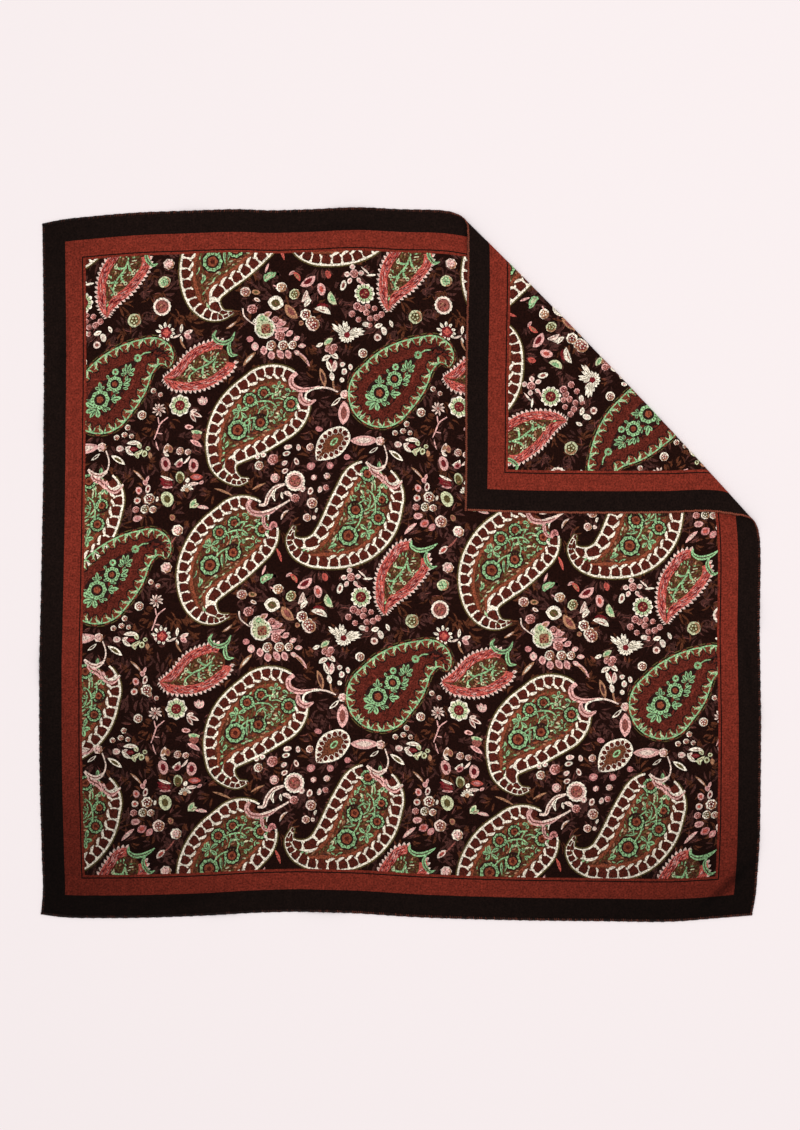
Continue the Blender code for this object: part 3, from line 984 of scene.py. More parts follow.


# The chart: one repeat of the print, charted as places and sizes, and drawn by the classes above.
# A place is two numbers, right and down, in chart units; a disc of a paisley has its half width as a third.
GREAT_PAISLEYS = (
    GreatPaisley(charted((272, 404, 38.5), (245.5, 423, 34.5), (232, 438, 26), (225, 451, 18.3),
            (223.3, 463.5, 13), (229, 474.5, 8), (238.5, 481, 4.3), (249, 479.5, 1)), hand=-1),
    GreatPaisley(charted((243, 532, 35.5), (221.5, 552, 36.3), (207.5, 570.5, 30.2), (200.5, 587.5, 22),
            (200.3, 602, 15.8), (206.5, 612.5, 10.8), (217, 618, 5.2), (229.5, 615.5, 1)), hand=-1),
    GreatPaisley(charted((371, 494, 33), (362.5, 515.5, 35.5), (351, 532, 32), (340, 541, 26.5),
            (326, 548.5, 19.5), (312, 551.5, 14.5), (299.5, 548.5, 10), (290.8, 539, 4.5),
            (294.5, 525.5, 1)), hand=1),
)
HOOK_PAISLEY = HookPaisley(charted((381, 394, 33), (397.5, 377, 30.5), (413, 361, 22), (424.5, 353.5, 17),
    (435, 349.7, 13.7), (443, 352.5, 10.3), (447.8, 359.5, 5.5), (448.5, 366, 1.5)), hand=1)
SAW_PAISLEYS = (
    SawPaisley(charted((217, 359.5, 19), (203, 367, 20.7), (188.5, 375.5, 15), (176.5, 379.5, 9.7),
            (164.5, 378.5, 1.2)), hand=-1),
    SawPaisley(charted((409, 562, 20.5), (397, 578, 19.4), (390, 589, 14.3), (385.5, 600, 9),
            (384.5, 614, 1)), hand=-1),
)
EYE_PAISLEY = EyePaisley(charted((339, 438, 11.5), (332, 443.5, 14), (325, 450.5, 9.5), (317, 459.5, 1)),
    hand=-1)
FIRST_BODY = GREAT_PAISLEYS[0].body()
# Charted in the first great paisley, taken over by the others: place, radius, open side in degrees or None
GREAT_RINGS = (
    (237.5, 430, 10, None), (250, 400, 7.2, None), (264, 393, 6.6, 290), (291, 404, 7.6, None),
    (260.5, 422.5, 8.2, 90),
)
GREAT_LEAVES = (  # from, to, width, bow
    (240, 412, 232, 411, 5, 0.5), (240, 412, 238, 404, 5, 0.5), (241, 411, 249, 408, 5, -0.5),
    (241, 412, 247, 418, 5, 0.5), (239, 413, 235, 418, 4.5, -0.5), (278, 387, 272, 386, 4.5, 0),
    (278, 386, 280, 381, 4.5, 0), (279, 387, 284, 386, 4, 0), (278, 388, 276, 392, 4, 0),
    (291, 392, 285, 389, 4, 0.6), (292, 392, 299, 389, 4.4, -0.6), (290, 393, 285, 396, 3, 0),
    (249, 434, 250, 421, 3.6, -0.4), (252, 431, 254, 424, 2.6, 0.2), (225, 448, 228, 441, 4.6, 0.6),
    (221, 440, 225, 433, 2.4, 0.4), (274, 411, 271, 416, 3, 0), (273, 419, 275, 424, 3, 0),
    (278, 421, 282, 417, 3, 0), (282, 414, 281, 409, 3, 0), (277, 408, 273, 407, 2.6, 0),
    (286, 412, 284, 418, 2.4, 0.4), (262, 407, 259, 413, 2.4, 0.5), (266, 404, 270, 409, 2.4, 0.5),
    (258, 409, 256, 402, 2.2, 0.4), (268, 414, 272, 411, 2.2, 0.2),
)
GREAT_VINES = (  # half widths at the start, middle and end, then the places
    (0.5, 0.9, 0.4, 256, 402, 264, 401, 271, 402, 277, 407), (0.4, 0.8, 0.4, 258, 414, 262, 408, 268, 405),
    (0.4, 0.9, 0.5, 264, 398, 270, 394, 277, 394), (0.4, 0.8, 0.4, 243, 424, 249, 419, 256, 417),
    (0.4, 0.7, 0.3, 266, 419, 268, 412, 266, 407), (0.3, 0.7, 0.3, 284, 400, 279, 398, 274, 399),
)
# Loose motifs: place, radius, rim ink, heart ink
BERRIES = (
    (280, 335.5, 5.6, PINK, BERRY), (271, 345.5, 5.5, CREAM, BERRY), (283, 345.3, 5.4, CREAM, BERRY),
    (292.5, 345, 4.6, CREAM, BERRY), (273, 459.5, 5.9, PINK, BERRY), (259, 465.5, 4.8, CREAM, BERRY),
    (310, 447, 3.9, SHELL, CORAL), (362.8, 353.3, 4.8, CREAM, BERRY), (344.5, 394.5, 4.6, SHELL, PINK),
    (380, 441, 4.7, SHELL, PINK), (421, 412.5, 4.7, CREAM, BERRY), (433, 389, 2.7, CREAM, BERRY),
    (440, 393.5, 2.5, SHELL, BERRY), (406.5, 424, 3, CREAM, BERRY), (395, 433, 3, CREAM, BERRY),
    (403, 431, 3.1, CREAM, BERRY), (410, 433, 2.6, CREAM, BERRY), (441, 521.5, 6.4, SHELL, BERRY),
    (458.5, 531.5, 5.9, CREAM, PINK), (448, 567.5, 5.9, SHELL, PINK), (443, 585, 6.5, PALE, GREEN),
    (412, 621, 7.2, PALE, OLIVE), (242, 594.5, 5.6, SHELL, BERRY), (248.5, 611.5, 5.4, PINK, CORAL),
    (278, 589, 5.7, CREAM, TAN), (291, 596, 5.8, PALE, OLIVE), (302, 616.5, 5.8, CREAM, CRIMSON),
    (310, 627, 6.7, SHELL, CRIMSON), (271.5, 621.5, 4.1, PINK, ROSE), (312, 503, 5.6, SHELL, CORAL),
    (307, 517.5, 4.3, SHELL, CORAL), (295, 498, 4.7, PINK, ROSE), (275, 478, 4.8, PINK, SHELL),
    (327, 476, 3.5, SHELL, PINK), (326, 487.5, 3.1, PINK, ROSE), (314, 477.5, 3.3, PINK, SHELL),
    (353.5, 609.5, 4.1, PINK, CRIMSON), (348.5, 617, 3.6, PINK, ROSE), (355, 623, 3, PINK, ROSE),
    (366.5, 622, 3.1, PINK, ROSE), (366.5, 629, 2.8, PINK, ROSE), (425, 507, 4.7, CREAM, OLIVE),
    (433, 508, 4, CREAM, BERRY), (416, 507, 3.8, PINK, CORAL), (180, 451, 4.2, SHELL, CORAL),
    (188, 452, 3.4, SHELL, CORAL), (311, 322, 6.4, CREAM, BERRY), (358, 612, 3.6, PINK, ROSE),
    (364, 610, 3.2, PINK, ROSE), (363, 616, 3.4, PINK, ROSE), (373, 621, 3.5, PINK, ROSE),
    (378, 618, 3.3, PINK, ROSE), (371, 612, 3, PINK, ROSE), (328, 349, 3.6, PINK, ROSE),
    (334, 347.5, 3.8, PINK, ROSE), (332, 352, 3.2, PINK, ROSE), (429, 497, 5.8, CREAM, CRIMSON),
    (351, 577, 4.4, PINK, CORAL),
)
# Single seeds: place, length, width, turn, ink, and heart ink where they have one
SEEDS = (
    (250, 339.2, 6.8, 6, 0, ROSE), (288, 447, 8.4, 5, 10, SHELL, PINK),
    (298.5, 447.5, 6.4, 4.4, 100, SHELL, PINK), (286.5, 453.5, 8, 4.6, 15, CREAM, BERRY),
    (263.5, 455, 5.6, 4.4, 20, CREAM, PINK), (257.5, 457, 4.8, 4.2, 0, CREAM, PINK),
    (296.5, 461.5, 7.4, 4.6, 115, SHELL, BERRY), (284.5, 463, 6.4, 4.6, 30, SHELL, PINK),
    (285, 471, 6.8, 4.8, 25, SHELL, BERRY), (311, 466, 8.6, 7.4, 20, ROSE, PINK),
    (330, 465.5, 7, 7, 0, ROSE, PINK), (347, 457, 6.4, 5.6, 0, ROSE), (319, 429, 7.6, 5, -15, ROSE),
    (302.5, 488.5, 5.8, 6.8, 0, SHELL, PINK), (310.5, 491, 5.4, 7.6, -20, SHELL, BERRY),
    (320, 489.5, 4.6, 6.8, -20, SHELL, PINK), (342.5, 364.5, 5.4, 4.6, 20, CREAM, PINK),
    (350.5, 367, 4.2, 6.2, 10, CREAM, PINK), (344.3, 371.5, 5.4, 6.6, -10, CREAM, PINK),
    (342, 380, 4.6, 4.8, 0, CREAM, SHELL), (366, 324.5, 7.6, 4.8, -10, CREAM, SHELL),
    (189, 427, 8.8, 4.6, -8, PINK, BERRY), (437, 498, 2.6, 5, -15, CREAM),
    (418, 488, 6.4, 7.4, 15, PINK, CORAL), (417, 498, 7, 6.4, 10, SHELL, CORAL),
    (424, 480.5, 5, 5.6, 30, PINK, ROSE), (427, 487, 5, 8.6, -15, SHELL, CRIMSON),
    (418, 516, 9.4, 6.2, 10, PINK, ROSE), (453, 518, 5.6, 6.6, 20, TAN, BERRY),
    (340, 588.5, 5.8, 10.4, -15, CREAM, BERRY), (318, 591.5, 8, 12.6, 15, PINK, CORAL),
    (325, 577, 5.6, 8.4, 20, CORAL), (252.5, 594.5, 8.4, 5, -5, TAN, OLIVE),
    (253.5, 602, 6.6, 3.4, -25, SHELL, TAN), (398, 444.5, 7.6, 6, 0, SHELL, PINK),
    (314, 517.5, 4.2, 4, 0, SHELL), (426, 446.5, 4.6, 4.2, 0, PALE, OLIVE),
    (422.5, 451.5, 5.4, 6.4, -10, PALE, OLIVE), (428, 453.5, 4, 6, 10, TAN),
    (180, 477, 9, 11, 0, PALE, OLIVE), (458.5, 480, 6.6, 10, 5, OLIVE, TAN),
    (443.5, 463.5, 9.6, 14.4, 15, PINK, CRIMSON), (384, 331, 5.6, 8.6, 20, CREAM, SHELL),
    (377.5, 337.5, 7.4, 7, 0, SHELL, BERRY), (193.5, 465.5, 10, 13.6, 0, PINK, CRIMSON),
    (297.5, 625, 5, 5, 0, TAN, BERRY), (466, 483, 5, 4, 60, CREAM), (447, 499, 12.6, 15.4, 20, PALE, OLIVE),
)
# Petals and leaves: from, to, width, bow, ink, and heart ink where they have one
PETALS = (
    (344, 401, 343, 425, 11.4, 0.4, PINK, BERRY), (350, 440.5, 378, 440, 9.8, -0.6, PINK, SHELL),
    (341, 397, 331, 406, 3.6, 0.5, CREAM, TONAL), (378, 447, 369, 453, 3, 0.4, CREAM, TONAL),
    (389, 450.5, 403, 461, 5.2, 0.4, CREAM, OLIVE), (320, 368, 325, 387, 6, 0.6, TAN, TONAL),
    (256, 352, 243, 366, 4.2, -0.6, TAN, CREAM), (295, 351, 310, 367, 3.6, 1.6, PINK, TAN),
    (203, 404.5, 202, 396, 4.6, 0.2, PINK, SHELL), (204, 405, 198, 398, 4, 0.6, PINK, SHELL),
    (204, 405, 206, 397, 4, -0.6, PINK, SHELL), (190, 412, 197, 410, 3.6, 0, SHELL),
    (191, 412, 202, 417, 3.8, 0, SHELL, BERRY), (190, 413, 196, 422, 3.8, 0, SHELL, BERRY),
    (190, 440, 202, 447, 4.6, 0.4, PINK, ROSE), (255, 342, 255, 351, 7.4, 0, PINK, SHELL),
    (263, 346, 264, 355, 7, 0.3, PINK, ROSE), (270, 351, 272, 360, 7.4, 0.4, PINK, ROSE),
    (277, 350, 283, 359, 6.6, 0.4, PINK, ROSE), (286, 350, 290, 359, 6.4, 0.2, PINK, ROSE),
    (294, 351, 300, 355, 4.6, 0.2, PINK, SHELL), (298, 346.5, 306, 346, 4.6, 0.4, PINK, SHELL),
    (273, 330, 289, 328, 4.6, -1.2, PINK, ROSE), (273, 324, 283, 320, 5.6, 0, PINK, ROSE),
    (286, 336, 293, 331, 5.4, 0, PINK, ROSE), (293, 340, 300, 337, 4.8, 0, PINK, SHELL),
    (197, 507, 209, 508.5, 3.6, 0.6, PINK, SHELL), (190, 508, 196, 499, 5.4, 0, PALE, GREEN),
    (191, 507, 199, 504, 4.6, 0, PALE), (214, 488.5, 233, 496, 2.4, 0.8, TAN),
    (252, 490, 266, 483, 2.2, 0.6, TAN), (222, 632, 233, 624, 2.8, -0.6, TAN, SHELL),
    (276.5, 548, 281.5, 562, 3, 0.5, CORAL), (281, 520, 289, 510, 2.8, 1.6, SHELL, TAN),
    (429, 530.5, 435, 524, 6.2, 0, ROSE, PINK), (420, 526, 429, 521, 7.4, 0, ROSE, CORAL),
    (404, 534.5, 417, 523, 3.8, 0.6, PINK, SHELL), (411, 467, 423, 479, 2.6, 0.6, TAN, SHELL),
    (439, 554, 448, 546.5, 5.6, 0.5, SHELL, CORAL), (259, 619, 268, 614, 5.6, 0, PINK, TAN),
    (272, 629, 283, 624, 5.4, 0.6, PINK, ROSE), (266, 565, 262, 575, 2.4, 0, PINK),
    (261, 583, 270, 574, 6, 0.4, GREEN, PALE), (263, 584, 262, 576, 4.2, 0, GREEN),
    (267, 580, 273, 574, 3.6, 0, GREEN), (286, 577, 292, 573, 3, 0.4, PINK),
    (290, 574, 297, 583, 4.4, 1, CORAL, TAN), (297, 587.5, 312, 578, 8.4, -1.4, PINK, CRIMSON),
    (298, 604, 303, 592, 5, -1.6, SHELL), (303, 592, 308, 603, 3.2, -1.8, CREAM),
    (308, 602, 301, 609, 4.6, -1.2, CREAM), (264, 604, 280, 607, 14.2, 0.8, CREAM, OLIVE),
    (268, 602, 276, 609, 3.4, 0.6, CREAM), (282, 606, 294, 620, 9, -1.4, TAN, BERRY),
    (311, 611, 327, 617, 6.2, 2.2, CREAM), (313, 607.5, 325, 609, 6.6, -0.4, CRIMSON),
    (327, 594, 333, 607, 7, -2.4, PALE, GREEN), (361, 572, 366, 578, 1.6, 0, CREAM),
    (358, 570, 365, 577, 1.4, 0, SHELL), (363, 579, 373, 578.5, 2.2, 0, CREAM),
    (354, 583, 362, 588, 2, -0.6, PINK), (350, 573, 349, 567.5, 5.6, 0, SHELL, PINK),
    (347, 578, 341, 577, 5.2, 0, SHELL, PINK), (355, 577, 361, 576, 5, 0, SHELL, PINK),
    (348, 581, 345, 587, 4.6, 0, SHELL, PINK), (354, 581, 357, 586, 4.2, 0, SHELL, PINK),
    (386, 624, 389, 631, 3.6, 0.4, CREAM), (371, 630, 379, 628, 4.6, -0.4, CREAM),
    (316, 346.5, 323, 343, 3.8, -0.4, CREAM), (324, 345, 333, 338.5, 5.4, 0.4, PALE, GREEN),
    (325, 347, 331, 344, 3, 0, TAN), (322, 361, 331, 356, 5, 0.8, CREAM), (330, 354, 338, 359, 5, 1, CREAM),
    (327, 360, 332, 372, 4.4, -0.6, CREAM), (335, 360, 333, 372, 5, 0.8, SHELL, PINK),
    (330.5, 359, 332, 369, 3.8, 0, CRIMSON), (331, 372, 333, 381, 4.8, 0, CREAM, SHELL),
    (405, 440, 419, 441, 4.2, 0.8, CREAM), (404, 443, 412, 452, 4, -1.6, CREAM),
    (411, 452, 421, 447, 3.8, -1.2, PALE), (407, 446, 416, 446.5, 4.2, 0, CRIMSON),
    (416, 440, 419, 446, 4.6, 0, PALE), (414, 449, 416, 456, 4.2, 0, PALE),
    (409, 443, 403, 446, 3, 0, SHELL), (425, 480, 427, 474, 3, 0, PINK),
    (439, 475, 452, 481, 2.6, -0.4, CREAM), (439, 482, 452, 486, 7, 0.6, CRIMSON),
    (441, 487, 452, 488, 3.2, 0.6, PINK, ROSE), (438, 478, 451, 483, 5.2, 0, CRIMSON),
    (283, 493, 292, 497, 4.4, 1.6, SHELL), (282, 492, 283, 499, 2.6, -0.8, CREAM),
    (316, 513, 318, 508, 2.6, 0.8, CREAM), (188, 484, 199, 483, 3.4, -0.4, SHELL),
    (190, 477, 203, 477, 6, 0, CORAL, ROSE), (199, 484, 204, 481, 3.2, 0, PINK),
    (446, 443, 441, 452, 5.6, 1.4, SHELL, TAN), (448, 445, 450, 453, 5.6, -0.8, TAN, BERRY),
    (442, 452, 447, 456, 2.8, -0.6, CREAM), (181, 333, 182, 324, 3.2, 0, CREAM),
    (184, 333.5, 193, 330, 4, -0.4, SHELL, PINK), (184, 335, 191, 339, 5, 0.6, PINK, ROSE),
    (181, 336, 182, 342, 3, 0, CREAM), (172, 338, 181, 334, 2.2, -0.5, SHELL),
    (180, 338, 186, 349, 2, -0.8, TAN), (470, 434, 481, 437, 5.6, -1.6, PALE, GREEN),
    (470, 440, 480, 441, 8, 0, BERRY), (452, 465, 460, 460, 4.8, -1.8, CREAM),
    (454, 468, 461, 464, 5.4, 0, ROSE, CRIMSON), (461, 466, 468, 459, 2.4, -0.6, SHELL),
    (437, 450, 434, 439, 1.4, 0.5, PINK),
)
# Strokes: half widths at the start, middle and end, ink, then the places it runs through
VINES = (
    (0.8, 2.6, 0.4, GREEN, 216.5, 330.5, 213.5, 336, 217.5, 341.5, 225, 343, 231, 340, 235, 332),
    (0.5, 2.4, 0.4, GREEN, 230.5, 340, 229, 349, 231.5, 355, 238, 355),
    (0.8, 2.6, 0.4, GREEN, 411.5, 540.5, 411, 545, 416, 549.5, 424, 550, 431, 547.5, 437.5, 543.5),
    (0.5, 2.4, 0.4, GREEN, 428, 550, 425.5, 557, 428, 564, 432, 567.5, 437, 566),
    (2.2, 2.9, 0.8, PINK, 297, 373, 291.5, 378, 292, 385, 300, 389.5, 311, 389, 320, 386.5),
    (0.8, 1, 0.7, SHELL, 316, 387.5, 324, 387.5, 331, 389, 338, 392),
    (1.2, 1.1, 1.3, CREAM, 322, 387.5, 312, 389.5, 306, 394, 306, 399, 310, 401),
    (1.2, 3.4, 0.8, PINK, 301, 391, 301, 399, 307, 403.5, 316, 400),
    (2, 3, 1, PINK, 251, 499.5, 248, 505, 251, 511.5, 260, 514, 270, 512, 280, 506),
    (1, 1.3, 0.9, SHELL, 262, 512.5, 276, 508, 290, 500),
    (1.2, 2.6, 1.2, SHELL, 259, 505, 265, 504.5, 268, 497, 275, 488, 285, 484),
    (0.6, 1.8, 0.4, CREAM, 276, 488, 273, 494, 275, 501),
    (0.9, 0.8, 0.5, CREAM, 270, 513, 268.5, 516, 268, 520),
    (1.6, 2, 1.4, PINK, 264, 514, 263.5, 521, 266, 527, 272, 529),
    (1.2, 3.2, 1, ROSE, 270, 529, 274, 524, 277, 527),
    (1.4, 2.6, 1.6, SHELL, 366, 462, 371, 467, 378, 469.5, 385, 466),
    (1, 0.8, 0.7, SHELL, 378, 469.5, 384.5, 466, 387, 458, 385, 448, 384, 445),
    (1.8, 3.4, 2, PINK, 369, 464, 373, 472, 380, 476, 385, 483),
    (2.2, 2.8, 1.2, PINK, 384, 476, 388, 484, 394, 487, 402, 481),
    (0.8, 1, 0.6, CREAM, 386, 480, 390, 483.5, 396, 484.5, 402, 480.5),
    (0.5, 0.8, 0.5, PINK, 447, 417, 439, 423, 436, 430, 432.5, 438),
    (0.4, 0.7, 0.4, PINK, 437, 416, 438, 423), (0.3, 0.6, 0.3, PINK, 436, 432, 441, 433),
    (0.9, 0.7, 0.6, SHELL, 239, 611, 240, 618, 246, 624, 255, 629),
    (1.4, 1.6, 0.4, CREAM, 250, 625, 251.5, 621),
    (0.4, 0.8, 0.5, GREEN, 420.5, 353.5, 425, 350.5, 431, 350),
    (1, 1, 0.5, TAN, 333, 381, 334, 388, 337, 392), (0.5, 0.8, 0.5, PINK, 270, 587, 274, 589),
    (0.5, 0.9, 0.4, BERRY, 457, 538, 452, 544, 447, 548),
)
# Flowers with a scalloped rim: place, radius, petals, heart radius, heart ink
ROSETTES = (
    (180, 405.5, 10.6, 8, 4.4, CRIMSON), (361, 597, 10.2, 11, 4.6, CRIMSON),
    (440, 609.5, 9.2, 14, 5.6, BERRY), (295, 481, 10.4, 16, 5.4, BERRY),
)
# Flowers of thin petals: place, ink, heart ink, heart radius, then rows of angle and length from the heart
DAISIES = (
    (347, 335, CREAM, CRIMSON, 3, ((35, 12), (22, 17), (12, 18.5), (2, 17), (-10, 12), (-35, 8.5),
    (-60, 8), (-85, 8), (-110, 8), (-135, 8.5), (-160, 8.5), (172, 9), (152, 17), (143, 19), (128, 14),
    (105, 14.5), (92, 13.5), (75, 9))), (438, 408.5, SHELL, BERRY, 1.4, ((10, 7), (45, 7.5), (85, 6),
    (120, 7), (160, 6.5), (-160, 7), (-115, 6.5), (-75, 7.5), (-25, 7.5))), (447, 332, CREAM, CRIMSON, 5.6,
    ((20, 9), (60, 9.5), (95, 10.5), (130, 11), (165, 11), (-160, 8), (-120, 8), (-80, 8.5), (-40, 8.5),
    (-10, 9))), (187, 490, CREAM, TAN, 2.2, ((5, 6.5), (30, 6), (60, 6), (90, 6.5), (120, 6), (150, 6),
    (175, 6.5))),
)
# Flowers of the hook paisley: rings of place, radius and heart radius, and green petals of from, to and width
HOOK_RINGS = ((379.5, 393, 9.6, 5.6), (394.5, 379, 7.8, 4.2), (395.5, 367, 3.4, 1.2), (418, 355, 3.9, 1.2))
HOOK_PETALS = (
    (375, 401, 365, 394.5, 6), (375, 402, 365, 404, 6), (376, 402, 369, 410, 4.2),
    (377, 402, 377.5, 411, 6), (381, 402, 386, 406, 3.2), (384, 402, 390, 404, 3),
    (380, 385, 379.5, 375, 4.2), (379, 383, 375, 380, 3.6), (381, 383, 384, 380, 3.6),
    (390, 394, 401, 393.5, 5), (391, 394.5, 396, 398, 3.6), (391, 393, 395, 390, 3.6),
    (403, 380, 411, 375, 4.6), (403, 381, 410, 381, 4.2), (402, 384, 408, 385, 3.2),
    (389, 374, 387, 369, 3.2), (390, 385, 386, 383, 3), (392, 387, 399, 388, 2.6),
    (406, 371, 403, 364, 4), (407, 370, 406, 360, 3.6), (408, 370, 411, 360, 3.6),
    (409, 370, 415, 365, 4), (408, 371, 414, 371, 3.6), (405, 372, 401, 369, 3.4),
    (408, 372, 405, 376, 3), (366, 391, 371, 394, 2.4),
)
GOURD = (261, 629)  # its place


def split(rows: Rows, column: int, line: float | np.ndarray) -> Rows:
    """Cuts every triangle that crosses column = line into three along that line.

    Args:
        rows: the triangles.
        column: which of their columns is compared.
        line: its value on the line, one for all or one for each triangle.

    Returns:
        The whole triangles and the cut ones.
    """
    side = rows[:, :, column] - np.reshape(line, (-1, 1))
    crossing = (side > 1e-6).any(axis=1) & (side < -1e-6).any(axis=1)
    if not crossing.any():
        return rows
    whole, cut, side = rows[~crossing], rows[crossing], side[crossing]
    up = side > 0
    lone = np.where(up.sum(axis=1) == 1, up.argmax(axis=1), (~up).argmax(axis=1))
    order = (lone[:, None] + np.arange(3)) % 3
    pick = np.arange(len(cut))[:, None]
    a, b, c = cut[pick, order].transpose(1, 0, 2)
    at_a, at_b, at_c = side[pick, order].T[:, :, None]
    p, q = a + (b - a) * (at_a / (at_a - at_b)), a + (c - a) * (at_a / (at_a - at_c))
    return np.concatenate([whole, np.stack([a, p, q], 1), np.stack([p, b, c], 1), np.stack([p, c, q], 1)])


def split_on(rows: Rows, column: int, lines: np.ndarray) -> Rows:
    """Cuts triangles along every line column = value of a sorted list, each round at the next line up.

    Args:
        rows: the triangles.
        column: which of their columns is compared.
        lines: the sorted values.

    Returns:
        The triangles, none of them crossing a line.
    """
    done = []
    while len(rows):
        low, high = rows[:, :, column].min(axis=1), rows[:, :, column].max(axis=1)
        line = lines[np.minimum(np.searchsorted(lines, low + 1e-4), len(lines) - 1)]
        crossing = (line > low + 1e-4) & (line < high - 1e-4)
        done.append(rows[~crossing])
        rows = split(rows[crossing], column, line[crossing])
    return np.concatenate(done) if done else rows


def area(rows: Rows) -> np.ndarray:
    """Twice the signed area of each triangle on the cut, in square millimetres."""
    one, other = rows[:, 1, :2] - rows[:, 0, :2], rows[:, 2, :2] - rows[:, 0, :2]
    return one[:, 0] * other[:, 1] - one[:, 1] * other[:, 0]


@dataclass(frozen=True)
class Repeat:
    """How the print repeats over the field, and where the left strip runs a different drop."""

    across: tuple[float, float] = (280.3, 0.5)
    up: tuple[float, float] = (0.8, 296.9)
    field: tuple[float, float, float, float] = (42.6, 673.4, 42.6, 648.6)
    origin: tuple[float, float] = (131.0, 272.0)
    strip: tuple[float, float, float, float] = (-99.0, 120.0, 158.0, 360.0)
    strip_slants: tuple[float, float] = (0.6, 0.28)
    strip_drop: tuple[float, float] = (-0.6, -187.0)

    def printed(self, cell: Rows) -> Rows:
        """Every copy of a cell's triangles whose motif lies on the field, trimmed to its edges.

        Args:
            cell: one repeat, its last two columns the place of the motif.

        Returns:
            The copies without those two columns.
        """
        copies = []
        left, right, low, high = self.strip
        low_slant, high_slant = self.strip_slants
        for i in range(-2, 3):
            for j in range(-3, 3):
                for drop in (False, True):
                    shift = np.array(self.across) * i + np.array(self.up) * j
                    if drop:
                        shift = shift + np.array(self.strip_drop)
                    copy = cell.copy()
                    copy[..., :2] += shift
                    copy[..., 4:6] += shift
                    u, v = copy[:, 0, 4], copy[:, 0, 5]
                    in_strip = (u > left) & (u < right) & (v > low + low_slant * u)
                    in_strip &= v < high + high_slant * u
                    copies.append(copy[in_strip == drop] if (i == -1 and j == 0) or not drop else copy[:0])
        rows = np.concatenate(copies)[..., :4]
        for column, low, high in ((0, *self.field[:2]), (1, *self.field[2:])):
            rows = rows[(rows[:, :, column].max(axis=1) > low) & (rows[:, :, column].min(axis=1) < high)]
            for line in (low, high):
                rows = split(rows, column, line)
            middle = rows[:, :, column].mean(axis=1)
            rows = rows[(middle > low) & (middle < high)]
        return rows


REPEAT = Repeat()
BUNCHES, LEAF_SEED, HEM_SEED = 600, 5, 21


def tonal_leaves(pen: Pen, bodies: list[Teardrop], rng: np.random.Generator) -> None:
    """Scatters bunches of brown leaves over the ground of one repeat, clear of the paisleys.

    Each bunch is a fan of two to four leaves with its own bearing, some with a lighter vein.

    Args:
        pen: what draws them.
        bodies: the rims of the paisleys.
        rng: where they are scattered by.
    """
    spines = np.concatenate([body.spine for body in bodies])
    halves = np.concatenate([body.half for body in bodies])
    across, up = np.array(REPEAT.across), np.array(REPEAT.up)
    copies = np.concatenate([spines + across * i + up * j for i in (-1, 0, 1) for j in (-1, 0, 1)])
    halves = np.tile(halves, 9) + 1.0
    for share in rng.uniform(0, 1, (BUNCHES, 2)):
        centre = REPEAT.origin + across * share[0] + up * share[1]
        if (np.hypot(*(copies - centre).T) < halves).any():
            continue
        pen.anchor = tuple(centre)
        bearing, count = rng.uniform(0, 360), int(rng.integers(2, 5))
        spread, reach = rng.uniform(16, 36), rng.uniform(6, 13)
        ink = (TONAL, TONAL, TONAL, BROWN)[int(rng.integers(4))]
        for k in range(count):
            turn = math.radians(bearing + spread * (k - count / 2))
            way = np.array([math.cos(turn), math.sin(turn)])
            side = np.array([-way[1], way[0]])
            start = centre + side * (k - count / 2) * rng.uniform(1.2, 3.2)
            width, bow = rng.uniform(1.5, 3.4), rng.uniform(-2, 2)
            tone = rng.uniform(-4.0, 0.4) if ink is TONAL else rng.uniform(-4.6, -2.0)
            pen.draw(ink, 0, blade(start, start + way * reach, width, bow, steps=5), tone)
        if rng.uniform() < 0.3:
            vein = blade(start, start + way * reach * 0.8, 0.7, rng.uniform(-1, 1), steps=5)
            pen.draw(BERRY, 1, vein, -2.5)


def one_repeat() -> dict[Ink, Rows]:
    """Draws one repeat of the print.

    Returns:
        Each ink's triangles.
    """
    pen = Pen()
    paisleys = [*GREAT_PAISLEYS, HOOK_PAISLEY, *SAW_PAISLEYS, EYE_PAISLEY]
    bodies = [Teardrop(one.points, one.hand, 10.0) for one in paisleys]
    tonal_leaves(pen, bodies, np.random.default_rng(LEAF_SEED))
    motifs: list[Motif] = list(paisleys)
    for kind, table, numbers in ((Berry, BERRIES, 2), (Seed, SEEDS, 2), (Petal, PETALS, 4)):
        motifs += [kind(places(*row[:numbers]), *row[numbers:]) for row in table]
    motifs += [Vine(places(*chart), first, middle, last, ink) for first, middle, last, ink, *chart in VINES]
    for kind, table in ((Rosette, ROSETTES), (Daisy, DAISIES)):
        motifs += [kind(places(*row[:2]), *row[2:]) for row in table]
    motifs.append(Gourd(places(*GOURD)))
    for motif in motifs:
        motif.print_with(pen)
    return {ink: np.concatenate(films) for ink, films in pen.films.items()}


UV_MAP = "OFBake"


